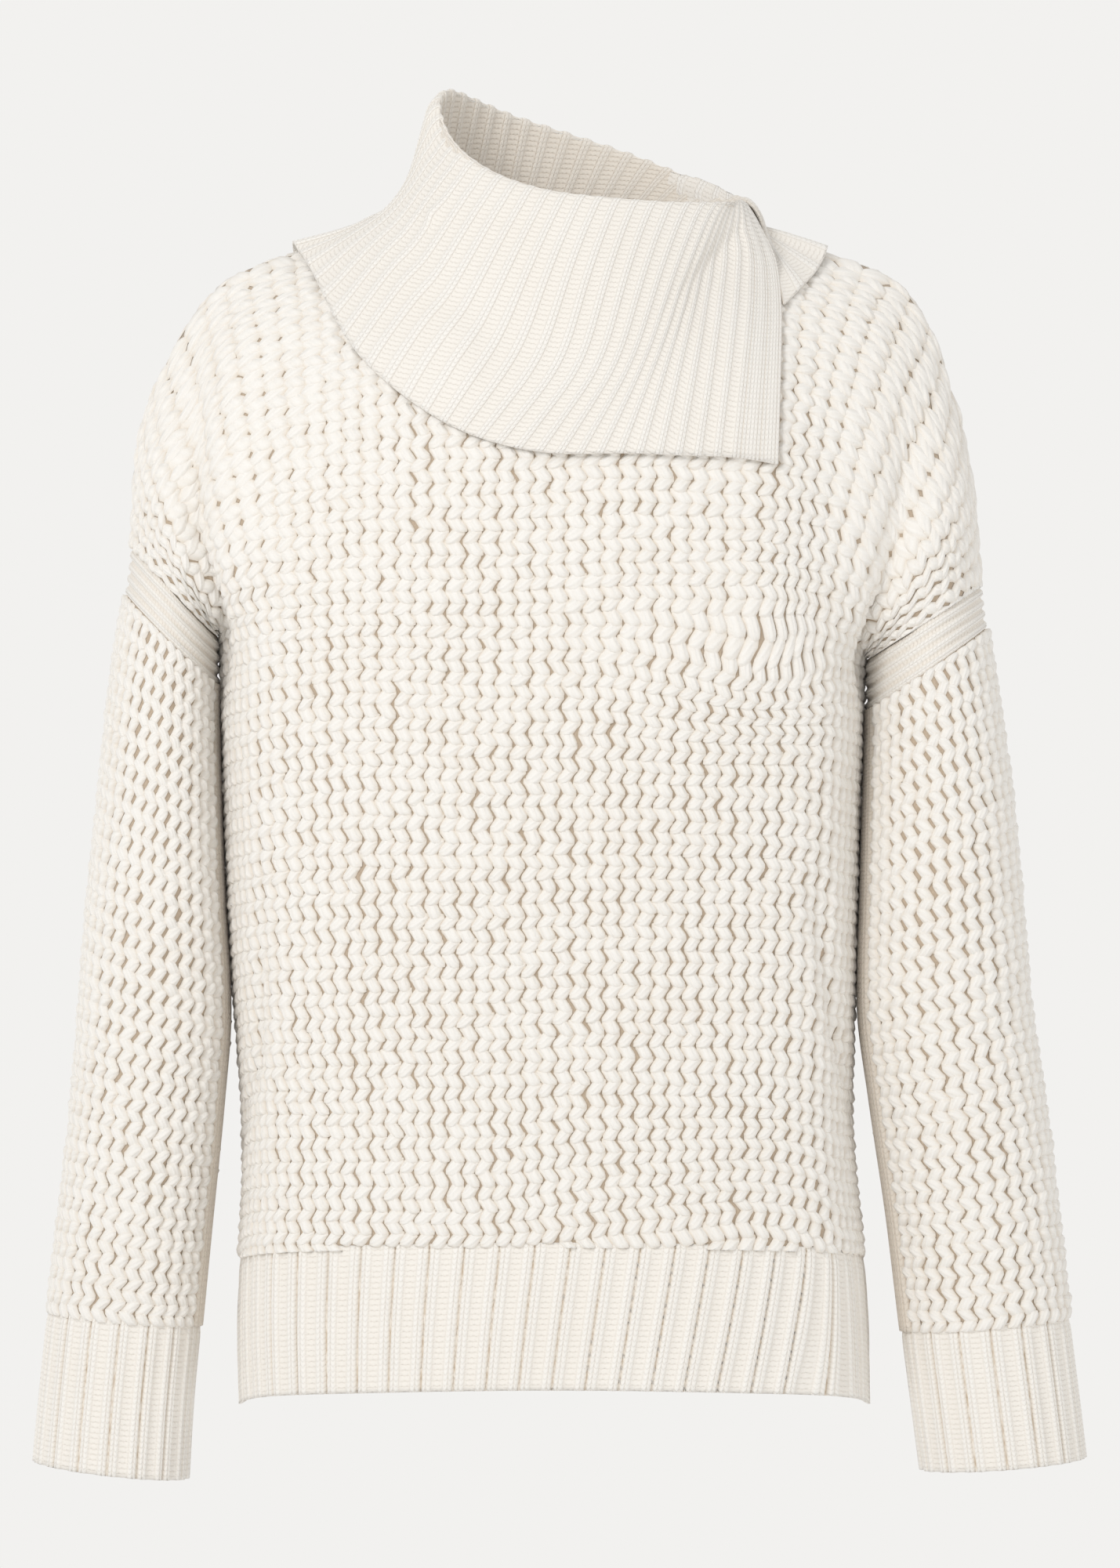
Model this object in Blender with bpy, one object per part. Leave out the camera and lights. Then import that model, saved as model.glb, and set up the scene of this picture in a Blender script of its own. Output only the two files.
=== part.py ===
"""A chunky-knit, drop-shoulder sweater in the filled-out shape it keeps when worn.

Hollow, with open neck, hem and cuffs. Lengths in the tables are millimetres.
+X is the wearer's left, -Y the front, +Z up. The origin is where the shoulder line
passes the collar's edge, on the centre plane.
"""

import bpy
import numpy as np

MM = 0.001

# Walls and seams
KNIT_WALL = 4.0
RIB_WALL = 2.6
RIB_RISE = 1.3
COLLAR_WALL = 2.6
COLLAR_RISE = 0.9
SEAM_GAP = 0.6

# Rib counts
HEM_RIBS = 25
CUFF_RIBS = 16
BAND_RIBS = 4
COLLAR_RIBS = 53

# Heights along the knit, measured from the armpit line
TOP = 225.0
HEM_SEAM = -340.0
HEM_EDGE = -418.0

# Distance across a panel from its centre line to the neck point, and to the armhole edge
NECK_POINT = 84.0
ARMHOLE = 290.0
ACROSS = np.array([0.0, 30.0, 58.0, 76.0, NECK_POINT, 110.0, 160.0, 225.0, ARMHOLE])
UP = np.array([0.0, 45.0, 90.0, 135.0, 180.0, TOP])

# Upper front, a row per distance across, each with x, y, z from the armpit line to the top.
# The first six rows serve both sides, with x turned round on the wearer's right.
FRONT_CHEST = [
    [(0, -118, -214), (0, -118, -180), (0, -117, -146), (0, -112, -112), (0, -103, -79), (0, -90, -48)],
    [(30, -117, -214), (30, -118, -179), (30, -116, -144), (30, -111, -109), (31, -101, -75), (32, -86, -42)],
    [(57, -115, -214), (57, -115, -173), (57, -112, -132), (57, -105, -92), (58, -90, -53), (59, -66, -18)],
    [(75, -113, -214), (75, -112, -166), (75, -107, -119), (76, -94, -71), (77, -69, -29), (77, -34, 6)],
    [(83, -111, -214), (83, -110, -160), (83, -103, -108), (83, -86, -58), (82, -51, -12), (80, 0, 17)],
    [(110, -105, -214), (110, -104, -162), (111, -97, -111), (112, -79, -62), (113, -46, -20), (115, 0, 9)],
]
FRONT_RIGHT_ARM = [
    [(155, -86, -214), (158, -86, -172), (162, -81, -130), (168, -69, -88), (174, -43, -46), (181, 0, -10)],
    [(180, -49, -214), (190, -60, -192), (202, -66, -168), (214, -62, -141), (224, -38, -111), (229, 0, -80)],
]
FRONT_LEFT_ARM = [
    [(141, -86, -222), (145, -86, -178), (151, -81, -134), (160, -69, -90), (172, -43, -47), (187, 0, -12)],
    [(163, -49, -225), (174, -60, -204), (189, -68, -181), (205, -64, -154), (219, -40, -124), (225, 0, -92)],
]
BACK_CHEST = [
    [(0, 112, -214), (0, 114, -160), (0, 112, -106), (0, 104, -56), (0, 88, -12), (0, 68, 23)],
    [(30, 111, -214), (30, 113, -160), (30, 111, -106), (30, 103, -56), (31, 86, -12), (31, 65, 23)],
    [(57, 109, -214), (57, 110, -160), (57, 108, -106), (57, 98, -56), (57, 78, -12), (57, 54, 23)],
    [(75, 107, -214), (75, 107, -160), (75, 103, -107), (75, 91, -58), (76, 66, -16), (76, 30, 21)],
    [(83, 105, -214), (83, 105, -160), (83, 100, -107), (83, 85, -58), (82, 53, -14), (80, 0, 17)],
    [(110, 99, -214), (110, 99, -162), (111, 94, -111), (112, 77, -62), (113, 45, -20), (115, 0, 9)],
]
BACK_ARM_DEPTH = -0.94

# Body below the armpits: height along the knit, z at the centre and at the side,
# x of the right side, middle and left side, y of the front and back, z at the back's centre
BODY = [
    (-48, -262, -262, -187.9, -2, 170.0, -118, 112, -262),
    (-106, -320, -320, -186.4, -5, 168.4, -116, 110, -321),
    (-186, -400, -402, -182.3, -6, 166.2, -112, 107, -402),
    (-226, -440, -443, -178.8, -6, 164.8, -111, 107, -443),
    (-268, -480, -485, -176.0, -6, 164.0, -112, 108, -485),
    (-305, -515, -525, -176.0, -5, 167.0, -113, 109, -521),
    (HEM_SEAM, -548, -563, -178.3, -3, 171.5, -114, 110, -557),
    (-379, -587, -604, -179.5, -3, 174.0, -114, 110, -598),
    (HEM_EDGE, -626, -643, -178.8, -3, 174.7, -113, 109, -640),
]
# How far out and how deep the body's outline is at each distance across, as shares
BODY_OUT = np.array([0, 0.160, 0.305, 0.400, 0.443, 0.583, 0.822, 0.955, 1.0])
BODY_DEEP = np.array([1, 0.996, 0.979, 0.958, 0.945, 0.894, 0.729, 0.415, 0.0])

# Soft creases in the panels: points of distance across, height and depth, then the width
RIGHT_CREASES = [
    ([(188, 215, 0), (192, 195, 4), (198, 170, 9), (206, 135, 13), (217, 90, 14), (228, 45, 11),
      (242, 5, 6), (250, -40, 0)], 14),
    ([(176, -120, 0), (184, -180, 3.5), (203, -235, 4), (255, -272, 1), (270, -290, 0)], 13),
]
LEFT_CREASES = [
    ([(190, 200, 0), (196, 175, 4), (203, 140, 10), (213, 95, 13), (226, 50, 11),
      (242, 8, 6), (250, -35, 0)], 15),
    ([(165, -110, 0), (174, -160, 3.5), (199, -216, 4), (240, -258, 1.5), (262, -285, 0)], 13),
]

# Sleeve rings: distance down the sleeve, x and z of the outer side, x and z of the inner
# side, y of the middle, depth to the front and to the back
RIGHT_SLEEVE = [
    (0, -238.5, -162, -189.6, -214, 0, 60, 56),
    (26, -241.6, -189, -190.8, -240, -5, 58, 54),
    (50, -245.5, -214, -190.5, -263, -10, 57, 53),
    (80, -250.5, -255, -190.0, -287, -14, 57, 53),
    (128, -256.0, -312, -188.9, -326, -18, 56, 52),
    (170, -261.0, -358, -187.2, -364, -19, 55, 51),
    (212, -264.5, -400, -185.0, -403, -18, 53, 50),
    (238, -266.5, -426, -184.8, -427, -16, 52, 49),
    (282, -270.6, -471, -188.3, -471, -14, 49, 47),
    (352, -278.5, -541, -195.4, -541, -10, 45, 44),
    (404, -285.0, -591, -201.0, -598, -8, 42, 41),
    (446, -289.5, -633, -205.0, -641, -7, 42, 41),
    (488, -293.5, -674, -207.6, -684, -6, 42, 41),
]
LEFT_SLEEVE = [
    (0, 237.0, -184, 172.0, -226, 0, 62, 58),
    (26, 239.5, -208, 173.2, -254, -5, 60, 56),
    (50, 243.0, -233, 172.8, -275, -10, 59, 55),
    (80, 247.0, -262, 172.2, -296, -14, 59, 54),
    (128, 253.4, -312, 170.9, -330, -18, 58, 53),
    (170, 257.0, -353, 170.0, -362, -19, 57, 52),
    (212, 260.8, -396, 168.8, -400, -18, 55, 51),
    (238, 263.5, -424, 169.3, -424, -16, 54, 50),
    (282, 270.6, -471, 175.6, -471, -14, 51, 48),
    (352, 279.5, -541, 186.0, -541, -10, 48, 46),
    (404, 285.5, -594, 193.3, -601, -8, 45, 44),
    (446, 290.6, -634, 198.4, -640, -7, 44, 43),
    (488, 295.3, -672, 203.5, -679, -6, 44, 43),
]
BAND_END = 26.0
CUFF_SEAM = 404.0
CUFF_EDGE = 488.0

# Collar, a row per place round the strip, from its front end at the wearer's left, past the
# right shoulder, to its back end: rib number, the panel it is sewn to and the distance across
# there, the fold line's x, y, z, the fold's size, how far the fall swells, then distance across
# and height on the panel where the fall first rests, and the same for its free edge.
# Distances across are positive on the wearer's left.
COLLAR = [
    (0.0, "front", 77, 102.0, -25, 31.0, 7, 1, 117, 190, 118, 83),
    (2.2, "front", 73, 101.2, -31, 29.6, 7, 2, 105, 180, 96, 80),
    (4.4, "front", 67, 99.0, -37, 28.6, 7, 2, 90, 172, 74, 94),
    (7.8, "front", 55, 91.5, -46, 27.8, 7, 2, 60, 178, 38, 123),
    (11.8, "front", 28, 57.6, -61, 26.7, 8, 3, 27, 194, -6, 129),
    (15.2, "front", 5, 24.3, -66, 28.9, 8, 3, -7, 203, -44, 129),
    (18.3, "front", -22, -5.2, -62, 33.1, 8, 3, -35, 213, -72, 119),
    (21.0, "front", -44, -29.1, -52, 41.4, 9, 2, -58, 213, -102, 125),
    (23.7, "front", -62, -48.8, -38, 53.9, 10, 0, -76, 214, -116, 153),
    (27.0, "front", -76, -62.2, -18, 71.0, 11, -3, -90, 217, -128, 205),
    (30.0, "front", -84, -66.5, 4, 90.0, 11, -6, -98, 225, -134, 225),
    (32.0, "back", -78, -60.6, 22, 96.6, 11, -5, -90, 214, -134, 194),
    (34.3, "back", -64, -45.0, 45, 93.0, 10, -2, -78, 212, -120, 163),
    (36.3, "back", -42, -27.7, 60, 87.0, 9, 1, -55, 212, -85, 140),
    (39.2, "back", -12, 5.0, 70, 77.0, 8, 2, -18, 212, -30, 132),
    (42.1, "back", 18, 39.4, 69, 65.6, 8, 2, 25, 212, 25, 132),
    (44.4, "back", 42, 65.0, 62, 55.0, 8, 2, 58, 212, 75, 140),
    (46.3, "back", 60, 83.7, 50, 46.0, 8, 2, 80, 212, 106, 157),
    (48.2, "back", 74, 97.0, 32, 39.0, 8, 1, 98, 213, 126, 185),
    (50.0, "front", 84, 104.5, 8, 34.5, 8, 0, 112, 225, 137, 225),
    (51.6, "front", 82, 105.5, -8, 33.0, 8, 0, 113, 215, 131, 196),
    (53.0, "front", 80, 104.5, -20, 31.4, 8, 0, 112.5, 206, 119, 168),
]
COLLAR_CLEAR = 4.0
SHOULDER_CLEAR = 4.5
FALL_STARTS = 5.0

# Mesh rows and columns
PANEL_ACROSS = np.array([0, 30, 58, 76, 84, 110, 135, 160, 182, 200, 216, 232, 250, 270, 290.0])
PANEL_UP = np.array([225, 205, 185, 165, 145, 120, 95, 70, 45, 22, 0, -48, -106, -146, -186, -226, -268, -305, -340.0])
SLEEVE_DOWN = np.array([26, 38, 50, 80, 128, 170, 212, 238, 282, 317, 352, 380, 404.0])


def through(knots, values, at):
    """The smooth curve through values at knots, read at each place of at."""
    knots = np.asarray(knots, float)
    values = np.asarray(values, float)
    at = np.clip(np.asarray(at, float), knots[0], knots[-1])
    slopes = np.gradient(values, knots, axis=0)
    i = np.clip(np.searchsorted(knots, at, side="right") - 1, 0, len(knots) - 2)
    span = knots[i + 1] - knots[i]
    s = (at - knots[i]) / span
    more = (1,) * (values.ndim - 1)
    s, span = s.reshape(-1, *more), span.reshape(-1, *more)
    a, b = values[i], values[i + 1]
    p, q = slopes[i] * span, slopes[i + 1] * span
    return a + s * p + s * s * (3 * (b - a) - 2 * p - q) + s ** 3 * (2 * (a - b) + p + q)


def unit(v):
    return v / np.maximum(np.linalg.norm(v, axis=-1, keepdims=True), 1e-9)


def tube(rings, down, turn):
    """Points of a sleeve, a row per distance down, a column per turn: 0 inner, quarter front, half outer."""
    r = through([row[0] for row in rings], [row[1:] for row in rings], down)
    xo, zo, xi, zi, mid, front, back = (r[:, k:k + 1] for k in range(7))
    c, s = np.cos(2 * np.pi * turn), np.sin(2 * np.pi * turn)
    deep = np.where(s >= 0, front, back)
    x = (xo + xi) / 2 + (xi - xo) / 2 * c
    z = (zo + zi) / 2 + (zi - zo) / 2 * c
    return np.stack([x, mid - deep * s, z], -1)


def ring_turn(share):
    """Where a share of the armhole's half round lies, in turns, at an even pace along it."""
    return 0.5 * (share - 0.037 * np.sin(2 * np.pi * share))


def armhole(side, face, share):
    """The armhole seam from the armpit to the shoulder seam, with its outward normals."""
    rings = LEFT_SLEEVE if side > 0 else RIGHT_SLEEVE
    turn = ring_turn(share) * (1 if face < 0 else -1)
    here = tube(rings, [0.0], turn)[0]
    out = unit(here - tube(rings, [0.0], np.array([0.0, 0.5]))[0].mean(0))
    folded = np.exp(-(share / 0.16) ** 2)[:, None]
    normal = unit(out * (1 - folded) + np.array([0, 0, -1.0]) * folded)
    along = unit(np.gradient(here, axis=0))
    down = np.cross(along, normal) * (side * -face)
    return here, normal, unit(down)


def body_rows(side, face):
    """The table of the panel's points on one side: heights, then a row of points for each height."""
    chest = np.array(FRONT_CHEST if face < 0 else BACK_CHEST, float)
    arm = np.array(FRONT_LEFT_ARM if side > 0 else FRONT_RIGHT_ARM, float)
    if face > 0:
        arm = arm * (1, BACK_ARM_DEPTH, 1)
    edge = armhole(side, face, UP / TOP)[0] * (side, 1, 1)
    upper = np.concatenate([chest, arm, edge[None]]).transpose(1, 0, 2) * (side, 1, 1)
    heights, rows = list(UP), list(upper)
    for up, z_mid, z_side, x_right, x_mid, x_left, y_front, y_back, z_back in BODY:
        x_side = x_left if side > 0 else x_right
        z_here = z_mid if face < 0 else z_back
        deep = y_front if face < 0 else y_back
        x = x_mid + (x_side - x_mid) * BODY_OUT
        z = z_here + (z_side - z_here) * (ACROSS / ARMHOLE) ** 2
        heights.insert(0, up)
        rows.insert(0, np.stack([x, deep * BODY_DEEP, z], -1))
    return np.array(heights), np.array(rows)


def panel(side, face, across, up):
    """Points on the outside of a panel, a row per height and a column per distance across."""
    heights, rows = body_rows(side, face)
    lines = through(heights, rows, up)
    return through(ACROSS, lines.transpose(1, 0, 2), across).transpose(1, 0, 2)


def normals_of(surface, rows, columns, row_step, column_step):
    """Unit normals of a surface, from points a small step to each side."""
    by_row = surface(rows + row_step, columns) - surface(rows - row_step, columns)
    by_column = surface(rows, columns + column_step) - surface(rows, columns - column_step)
    return unit(np.cross(by_column, by_row))


def crease_depth(creases, across, up):
    """How far the creases press the panel in, for each row and column."""
    total = np.zeros((len(up), len(across)))
    for points, width in creases:
        p = np.array(points[::-1], float)
        centre = np.interp(up, p[:, 1], p[:, 0])
        depth = np.interp(up, p[:, 1], p[:, 2], left=0, right=0)
        total += depth[:, None] * np.exp(-((across[None, :] - centre[:, None]) / width) ** 2)
    return total


def half_panel(side, face, across, up):
    """Outer points and outward normals of half a panel, with its creases pressed in."""
    facing = -1 if side * face > 0 else 1
    creases = LEFT_CREASES if side > 0 else RIGHT_CREASES

    def plain(rows, columns):
        return panel(side, face, columns, rows)

    def creased(rows, columns):
        out = normals_of(plain, rows, columns, 1.0, 1.0) * facing
        return plain(rows, columns) - out * crease_depth(creases, columns, rows)[..., None]

    return creased(up, across), normals_of(creased, up, across, 1.0, 1.0) * facing


def whole_panel(face, up):
    """Both halves side by side, from the wearer's right to their left."""
    right, right_n = half_panel(-1, face, PANEL_ACROSS, up)
    left, left_n = half_panel(1, face, PANEL_ACROSS, up)
    middle_n = unit(right_n[:, :1] + left_n[:, :1])
    grid = np.concatenate([right[:, :0:-1], left], 1)
    normal = np.concatenate([right_n[:, :0:-1], middle_n, left_n[:, 1:]], 1)
    return grid, normal


def seat_armholes(face, up, outer, inner):
    """Moves the panel's two armhole edges back from the seam, wall and all."""
    high = up > 0
    for side, column in ((-1, 0), (1, -1)):
        edge, normal, down = armhole(side, face, np.clip(up[high | (up == 0)] / TOP, 0, 1)[::-1])
        rows = np.flatnonzero(up >= 0)[::-1]
        outer[rows, column] = edge - down * SEAM_GAP / 2
        inner[rows, column] = edge - down * SEAM_GAP / 2 - normal * KNIT_WALL


def set_seam_plane(face, outer, inner, up):
    """Puts the shoulder and side seams half a gap from the middle plane, inside and out."""
    across = np.concatenate([PANEL_ACROSS[:0:-1], PANEL_ACROSS])
    shoulder = np.flatnonzero(across >= NECK_POINT)
    for points in (outer, inner):
        if up[0] == TOP:
            points[0, shoulder, 1] = face * SEAM_GAP / 2
        below = np.flatnonzero(up <= 0)
        for column in (0, -1):
            points[below, column, 1] = face * SEAM_GAP / 2
        points[..., 1] = face * np.maximum(points[..., 1] * face, SEAM_GAP / 2)


def wall(name, outer, inner, ring, colour):
    """A closed wall between two grids of points. A ring joins its last column to its first."""
    rows, columns = outer.shape[:2]
    points = np.concatenate([outer.reshape(-1, 3), inner.reshape(-1, 3)]) * MM
    lift = rows * columns
    faces = []
    for i in range(rows - 1):
        for j in range(columns if ring else columns - 1):
            k = (j + 1) % columns
            a, b, c, d = i * columns + j, i * columns + k, (i + 1) * columns + k, (i + 1) * columns + j
            faces.append((a, b, c, d))
            faces.append((d + lift, c + lift, b + lift, a + lift))
    for j in range(columns if ring else columns - 1):
        k = (j + 1) % columns
        last = (rows - 1) * columns
        faces += [(k, j, j + lift), (k, j + lift, k + lift)]
        j, k = last + j, last + k
        faces += [(j, k, j + lift), (k, k + lift, j + lift)]
    if not ring:
        for i in range(rows - 1):
            a, b = i * columns, (i + 1) * columns
            faces.append((a, b, b + lift, a + lift))
            a, b = a + columns - 1, b + columns - 1
            faces.append((b, a, a + lift, b + lift))
    mesh = bpy.data.meshes.new(name)
    mesh.from_pydata(points.tolist(), [], faces)
    if mesh_volume(mesh) < 0:
        mesh.flip_normals()
    mesh.validate()
    body = bpy.data.objects.new(name, mesh)
    body.data.materials.append(paint(name, colour))
    bpy.data.collections["Sweater"].objects.link(body)
    return body


def mesh_volume(mesh):
    """Six times the volume that the faces enclose, negative when they face inwards."""
    total = 0.0
    for face in mesh.polygons:
        p = [mesh.vertices[v].co for v in face.vertices]
        for k in range(1, len(p) - 1):
            total += p[0].dot(p[k].cross(p[k + 1]))
    return total


def paint(name, colour):
    material = bpy.data.materials.new(name)
    material.use_nodes = True
    shader = material.node_tree.nodes["Principled BSDF"]
    shader.inputs["Base Color"].default_value = (*colour, 1)
    shader.inputs["Roughness"].default_value = 0.9
    return material


def make_panel(name, face, colour):
    outer, normal = whole_panel(face, PANEL_UP)
    inner = outer - normal * KNIT_WALL
    seat_armholes(face, PANEL_UP, outer, inner)
    set_seam_plane(face, outer, inner, PANEL_UP)
    outer[-1, :, 2] += SEAM_GAP / 2
    inner[-1, :, 2] = outer[-1, :, 2]
    wall(name, outer, inner, False, colour)


def make_hem(name, face, colour):
    """A hem band, its ribs raised on the outside only."""
    up = np.array([HEM_SEAM, -356, HEM_EDGE])
    count = HEM_RIBS * 4
    share = np.linspace(-1, 1, count + 1)
    halves = []
    for side, part in ((-1, share[share < 0]), (1, share[share >= 0])):
        across = np.abs(part) * ARMHOLE
        order = np.argsort(across)
        grid, normal = half_panel(side, face, across[order], up)
        back = np.argsort(order)
        halves.append((grid[:, back], normal[:, back]))
    grid = np.concatenate([halves[0][0], halves[1][0]], 1)
    normal = np.concatenate([halves[0][1], halves[1][1]], 1)
    rib = np.array([0, 1, 1, 0])[np.arange(count + 1) % 4]
    swell = np.array([0.2, 1, 1])[:, None] * rib[None, :]
    outer = grid + normal * (swell * RIB_RISE)[..., None]
    inner = grid - normal * RIB_WALL
    for points in (outer, inner):
        for column in (0, -1):
            points[:, column, 1] = face * SEAM_GAP / 2
        points[..., 1] = face * np.maximum(points[..., 1] * face, SEAM_GAP / 2)
        points[0, :, 2] = grid[0, :, 2] - SEAM_GAP / 2
        points[-1, :, 2] = grid[-1, :, 2]
    wall(name, outer, inner, False, colour)


def seam_turns():
    """The turns at which the armhole seam's points lie, the same on panel, band and sleeve."""
    half = ring_turn(np.sort(PANEL_UP[PANEL_UP >= 0]) / TOP)
    return np.concatenate([half, 1 - half[-2:0:-1]])


def make_sleeve(name, rings, down, colour):
    turn = seam_turns()
    grid, normal = sleeve_points(rings, down, turn)
    inner = grid - normal * KNIT_WALL
    grid, inner = trim_ends(grid, inner)
    wall(name, grid, inner, True, colour)


def sleeve_points(rings, down, turn):
    """Points of a sleeve with normals that point away from its middle line."""

    def surface(rows, columns):
        return tube(rings, rows, columns)

    grid = surface(down, turn)
    normal = normals_of(surface, down, turn, 1.0, 0.002)
    if np.sum(normal * (grid - grid.mean(1, keepdims=True))) < 0:
        normal = -normal
    return grid, normal


def trim_ends(outer, inner):
    """Cuts half a seam gap off both ends of a tube."""
    for points in (outer, inner):
        for end, beside in ((0, 1), (-1, -2)):
            step = unit(points[beside] - points[end])
            points[end] += step * SEAM_GAP / 2
    return outer, inner


def make_cuff(name, rings, colour):
    down = np.array([CUFF_SEAM, 418, CUFF_EDGE])
    count = CUFF_RIBS * 4
    grid, normal = sleeve_points(rings, down, np.arange(count) / count)
    rib = np.array([0, 1, 1, 0])[np.arange(count) % 4]
    swell = np.array([0.2, 1, 1])[:, None] * rib[None, :]
    outer = grid + normal * (swell * RIB_RISE)[..., None]
    inner = grid - normal * RIB_WALL
    outer, inner = trim_ends(outer, inner)
    wall(name, outer, inner, True, colour)


def make_band(name, side, rings, colour):
    """The ribbed band under an armhole seam, its ribs running round the arm."""
    turn = seam_turns()
    down = np.linspace(0, BAND_END, 2 * BAND_RIBS + 1)
    grid, normal = sleeve_points(rings, down, turn)
    beside_body = np.exp(-(np.minimum(turn, 1 - turn) / 0.09) ** 2)
    swell = (np.arange(len(down)) % 2)[:, None] * (1 - beside_body)[None, :]
    outer = grid + normal * swell[..., None]
    inner = grid - normal * KNIT_WALL
    share = np.sort(PANEL_UP[PANEL_UP >= 0]) / TOP
    front, back = (armhole(side, face, share) for face in (-1, 1))
    edge, edge_normal, edge_down = (np.concatenate([f, b[-2:0:-1]]) for f, b in zip(front, back))
    under_arm = np.exp(-(np.minimum(turn, 1 - turn) / 0.1) ** 2)[:, None]
    outer[0] = edge + edge_down * (SEAM_GAP / 2 + 1.3 * under_arm)
    inner[0] = outer[0] - edge_normal * KNIT_WALL
    for points in (outer, inner):
        step = unit(points[-2] - points[-1])
        points[-1] += step * SEAM_GAP
    wall(name, outer, inner, True, colour)


def on_panel(face, across, up, off):
    """A point off the outside of a panel, its distance across positive on the wearer's left."""
    side = 1 if across > 0 else -1
    grid, normal = half_panel(side, face, np.array([abs(across)]), np.array([float(up)]))
    point, out = grid[0, 0], normal[0, 0]
    if up >= TOP and abs(across) >= NECK_POINT:
        point, out = point * (1, 0, 1), unit(out * (1, 0, 1))
    return point + out * off


def collar_lines():
    """The collar's shape: rib numbers, and for each the points from the neck seam to the free edge."""
    ribs, lines = [], []
    for rib, panel_name, sewn, x, y, z, size, swell, rest_at, rest_up, edge_at, edge_up in COLLAR:
        face = -1 if panel_name == "front" else 1
        off = COLLAR_CLEAR + COLLAR_WALL
        crest = np.array([x, y, z])
        seam = on_panel(face, sewn, TOP, 0)
        to_neck = unit((np.array([8.0, -8.0, 0]) - seam) * (1, 1, 0))
        lean = max(-np.dot(crest - seam, to_neck), 0)
        base = seam + to_neck * (COLLAR_WALL + 1.1) + np.array([0, 0, 2.1 + 0.12 * lean])
        rest = on_panel(face, rest_at, rest_up, off)
        edge = on_panel(face, edge_at, edge_up, off)
        middle = on_panel(face, (rest_at + edge_at) / 2, (rest_up + edge_up) / 2, off)
        away = unit((rest - crest) * (1, 1, 0))
        shoulder = crest + away * size - np.array([0, 0, 0.75 * size])
        falling = (shoulder + rest) / 2 + away * swell
        stand = (base + crest) / 2 + to_neck * 1.5
        brow = (base + 5 * crest) / 6 + to_neck * 1.2
        ribs.append(rib)
        lines.append([base, stand, brow, crest, shoulder, falling, rest, middle, edge])
    return np.array(ribs), np.array(lines)


def eased(values, times):
    """Rows of values, each moved towards the mean of its neighbours so many times. The ends stay."""
    values = values.copy()
    for _ in range(times):
        values[1:-1] = values[1:-1] / 2 + (values[:-2] + values[2:]) / 4
    return values


def collar_surface():
    """The collar's face as a surface over rib number and place along the rib, 0 at the seam, 8 at the edge."""
    ribs, lines = collar_lines()
    fine_ribs = np.linspace(0, COLLAR_RIBS, 2 * COLLAR_RIBS + 1)
    places = np.linspace(0, lines.shape[1] - 1, 41)
    grid = through(ribs, lines, fine_ribs)
    grid = through(np.arange(lines.shape[1], dtype=float), grid.transpose(1, 0, 2), places)
    smooth = eased(eased(grid, 8).transpose(1, 0, 2), 12).transpose(1, 0, 2)
    share = np.clip((places - 3.2) / 0.8, 0, 1)[:, None, None]
    grid = grid * (1 - share) + smooth * share

    def surface(rows, columns):
        across = through(fine_ribs, grid.transpose(1, 0, 2), columns)
        return through(places, across.transpose(1, 0, 2), rows)

    return surface


def panel_samples():
    """Points spread over both panels' faces near the neck, with their outward normals."""
    points, normals = [], []
    rows = PANEL_UP >= 22
    for face in (-1, 1):
        grid, normal = whole_panel(face, PANEL_UP[rows])
        for values, kept in ((grid, points), (normal, normals)):
            for _ in range(3):
                values = halved(halved(values).transpose(1, 0, 2)).transpose(1, 0, 2)
            kept.append(values.reshape(-1, 3))
    return np.concatenate(points), unit(np.concatenate(normals))


def halved(values):
    """The rows of values with a row half way between each two."""
    fine = np.empty((2 * len(values) - 1, *values.shape[1:]))
    fine[::2] = values
    fine[1::2] = (values[1:] + values[:-1]) / 2
    return fine


def lift_off_panels(points):
    """How far each point of the fall moves out for its hidden side to clear the panel under it."""
    spots, normals = panel_samples()
    lift = np.zeros_like(points)
    for i, row in enumerate(points):
        nearest = np.argmin(((row[:, None] - spots[None]) ** 2).sum(-1), axis=1)
        height = np.sum((row - spots[nearest]) * normals[nearest], axis=1)
        clear = COLLAR_CLEAR + SHOULDER_CLEAR * np.exp(-(row[:, 1] / 12) ** 2)
        lift[i] = normals[nearest] * np.maximum(clear - height, 0)[:, None]
    return lift


def make_collar(name, colour):
    surface = collar_surface()
    count = COLLAR_RIBS * 2
    columns = np.linspace(0, COLLAR_RIBS, count + 1)
    rows = np.array([0, 1.2, 2.3, 3, 4, 5, 5.5, 6.0, 6.4, 6.8, 7.2, 7.6, 8.0])
    grid = surface(rows, columns)
    normal = normals_of(surface, rows, columns, 0.02, 0.05)
    in_fall = rows >= FALL_STARTS
    if normal[in_fall][0, count // 4, 1] > 0:
        normal = -normal
    inner = grid - normal * COLLAR_WALL
    lift = lift_off_panels(inner[in_fall])
    inner[in_fall] += lift
    grid[in_fall] += lift
    rib = (np.arange(count + 1) % 2)[None, :, None]
    outer = grid + normal * rib * COLLAR_RISE
    wall(name, outer, inner, False, colour)


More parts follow.
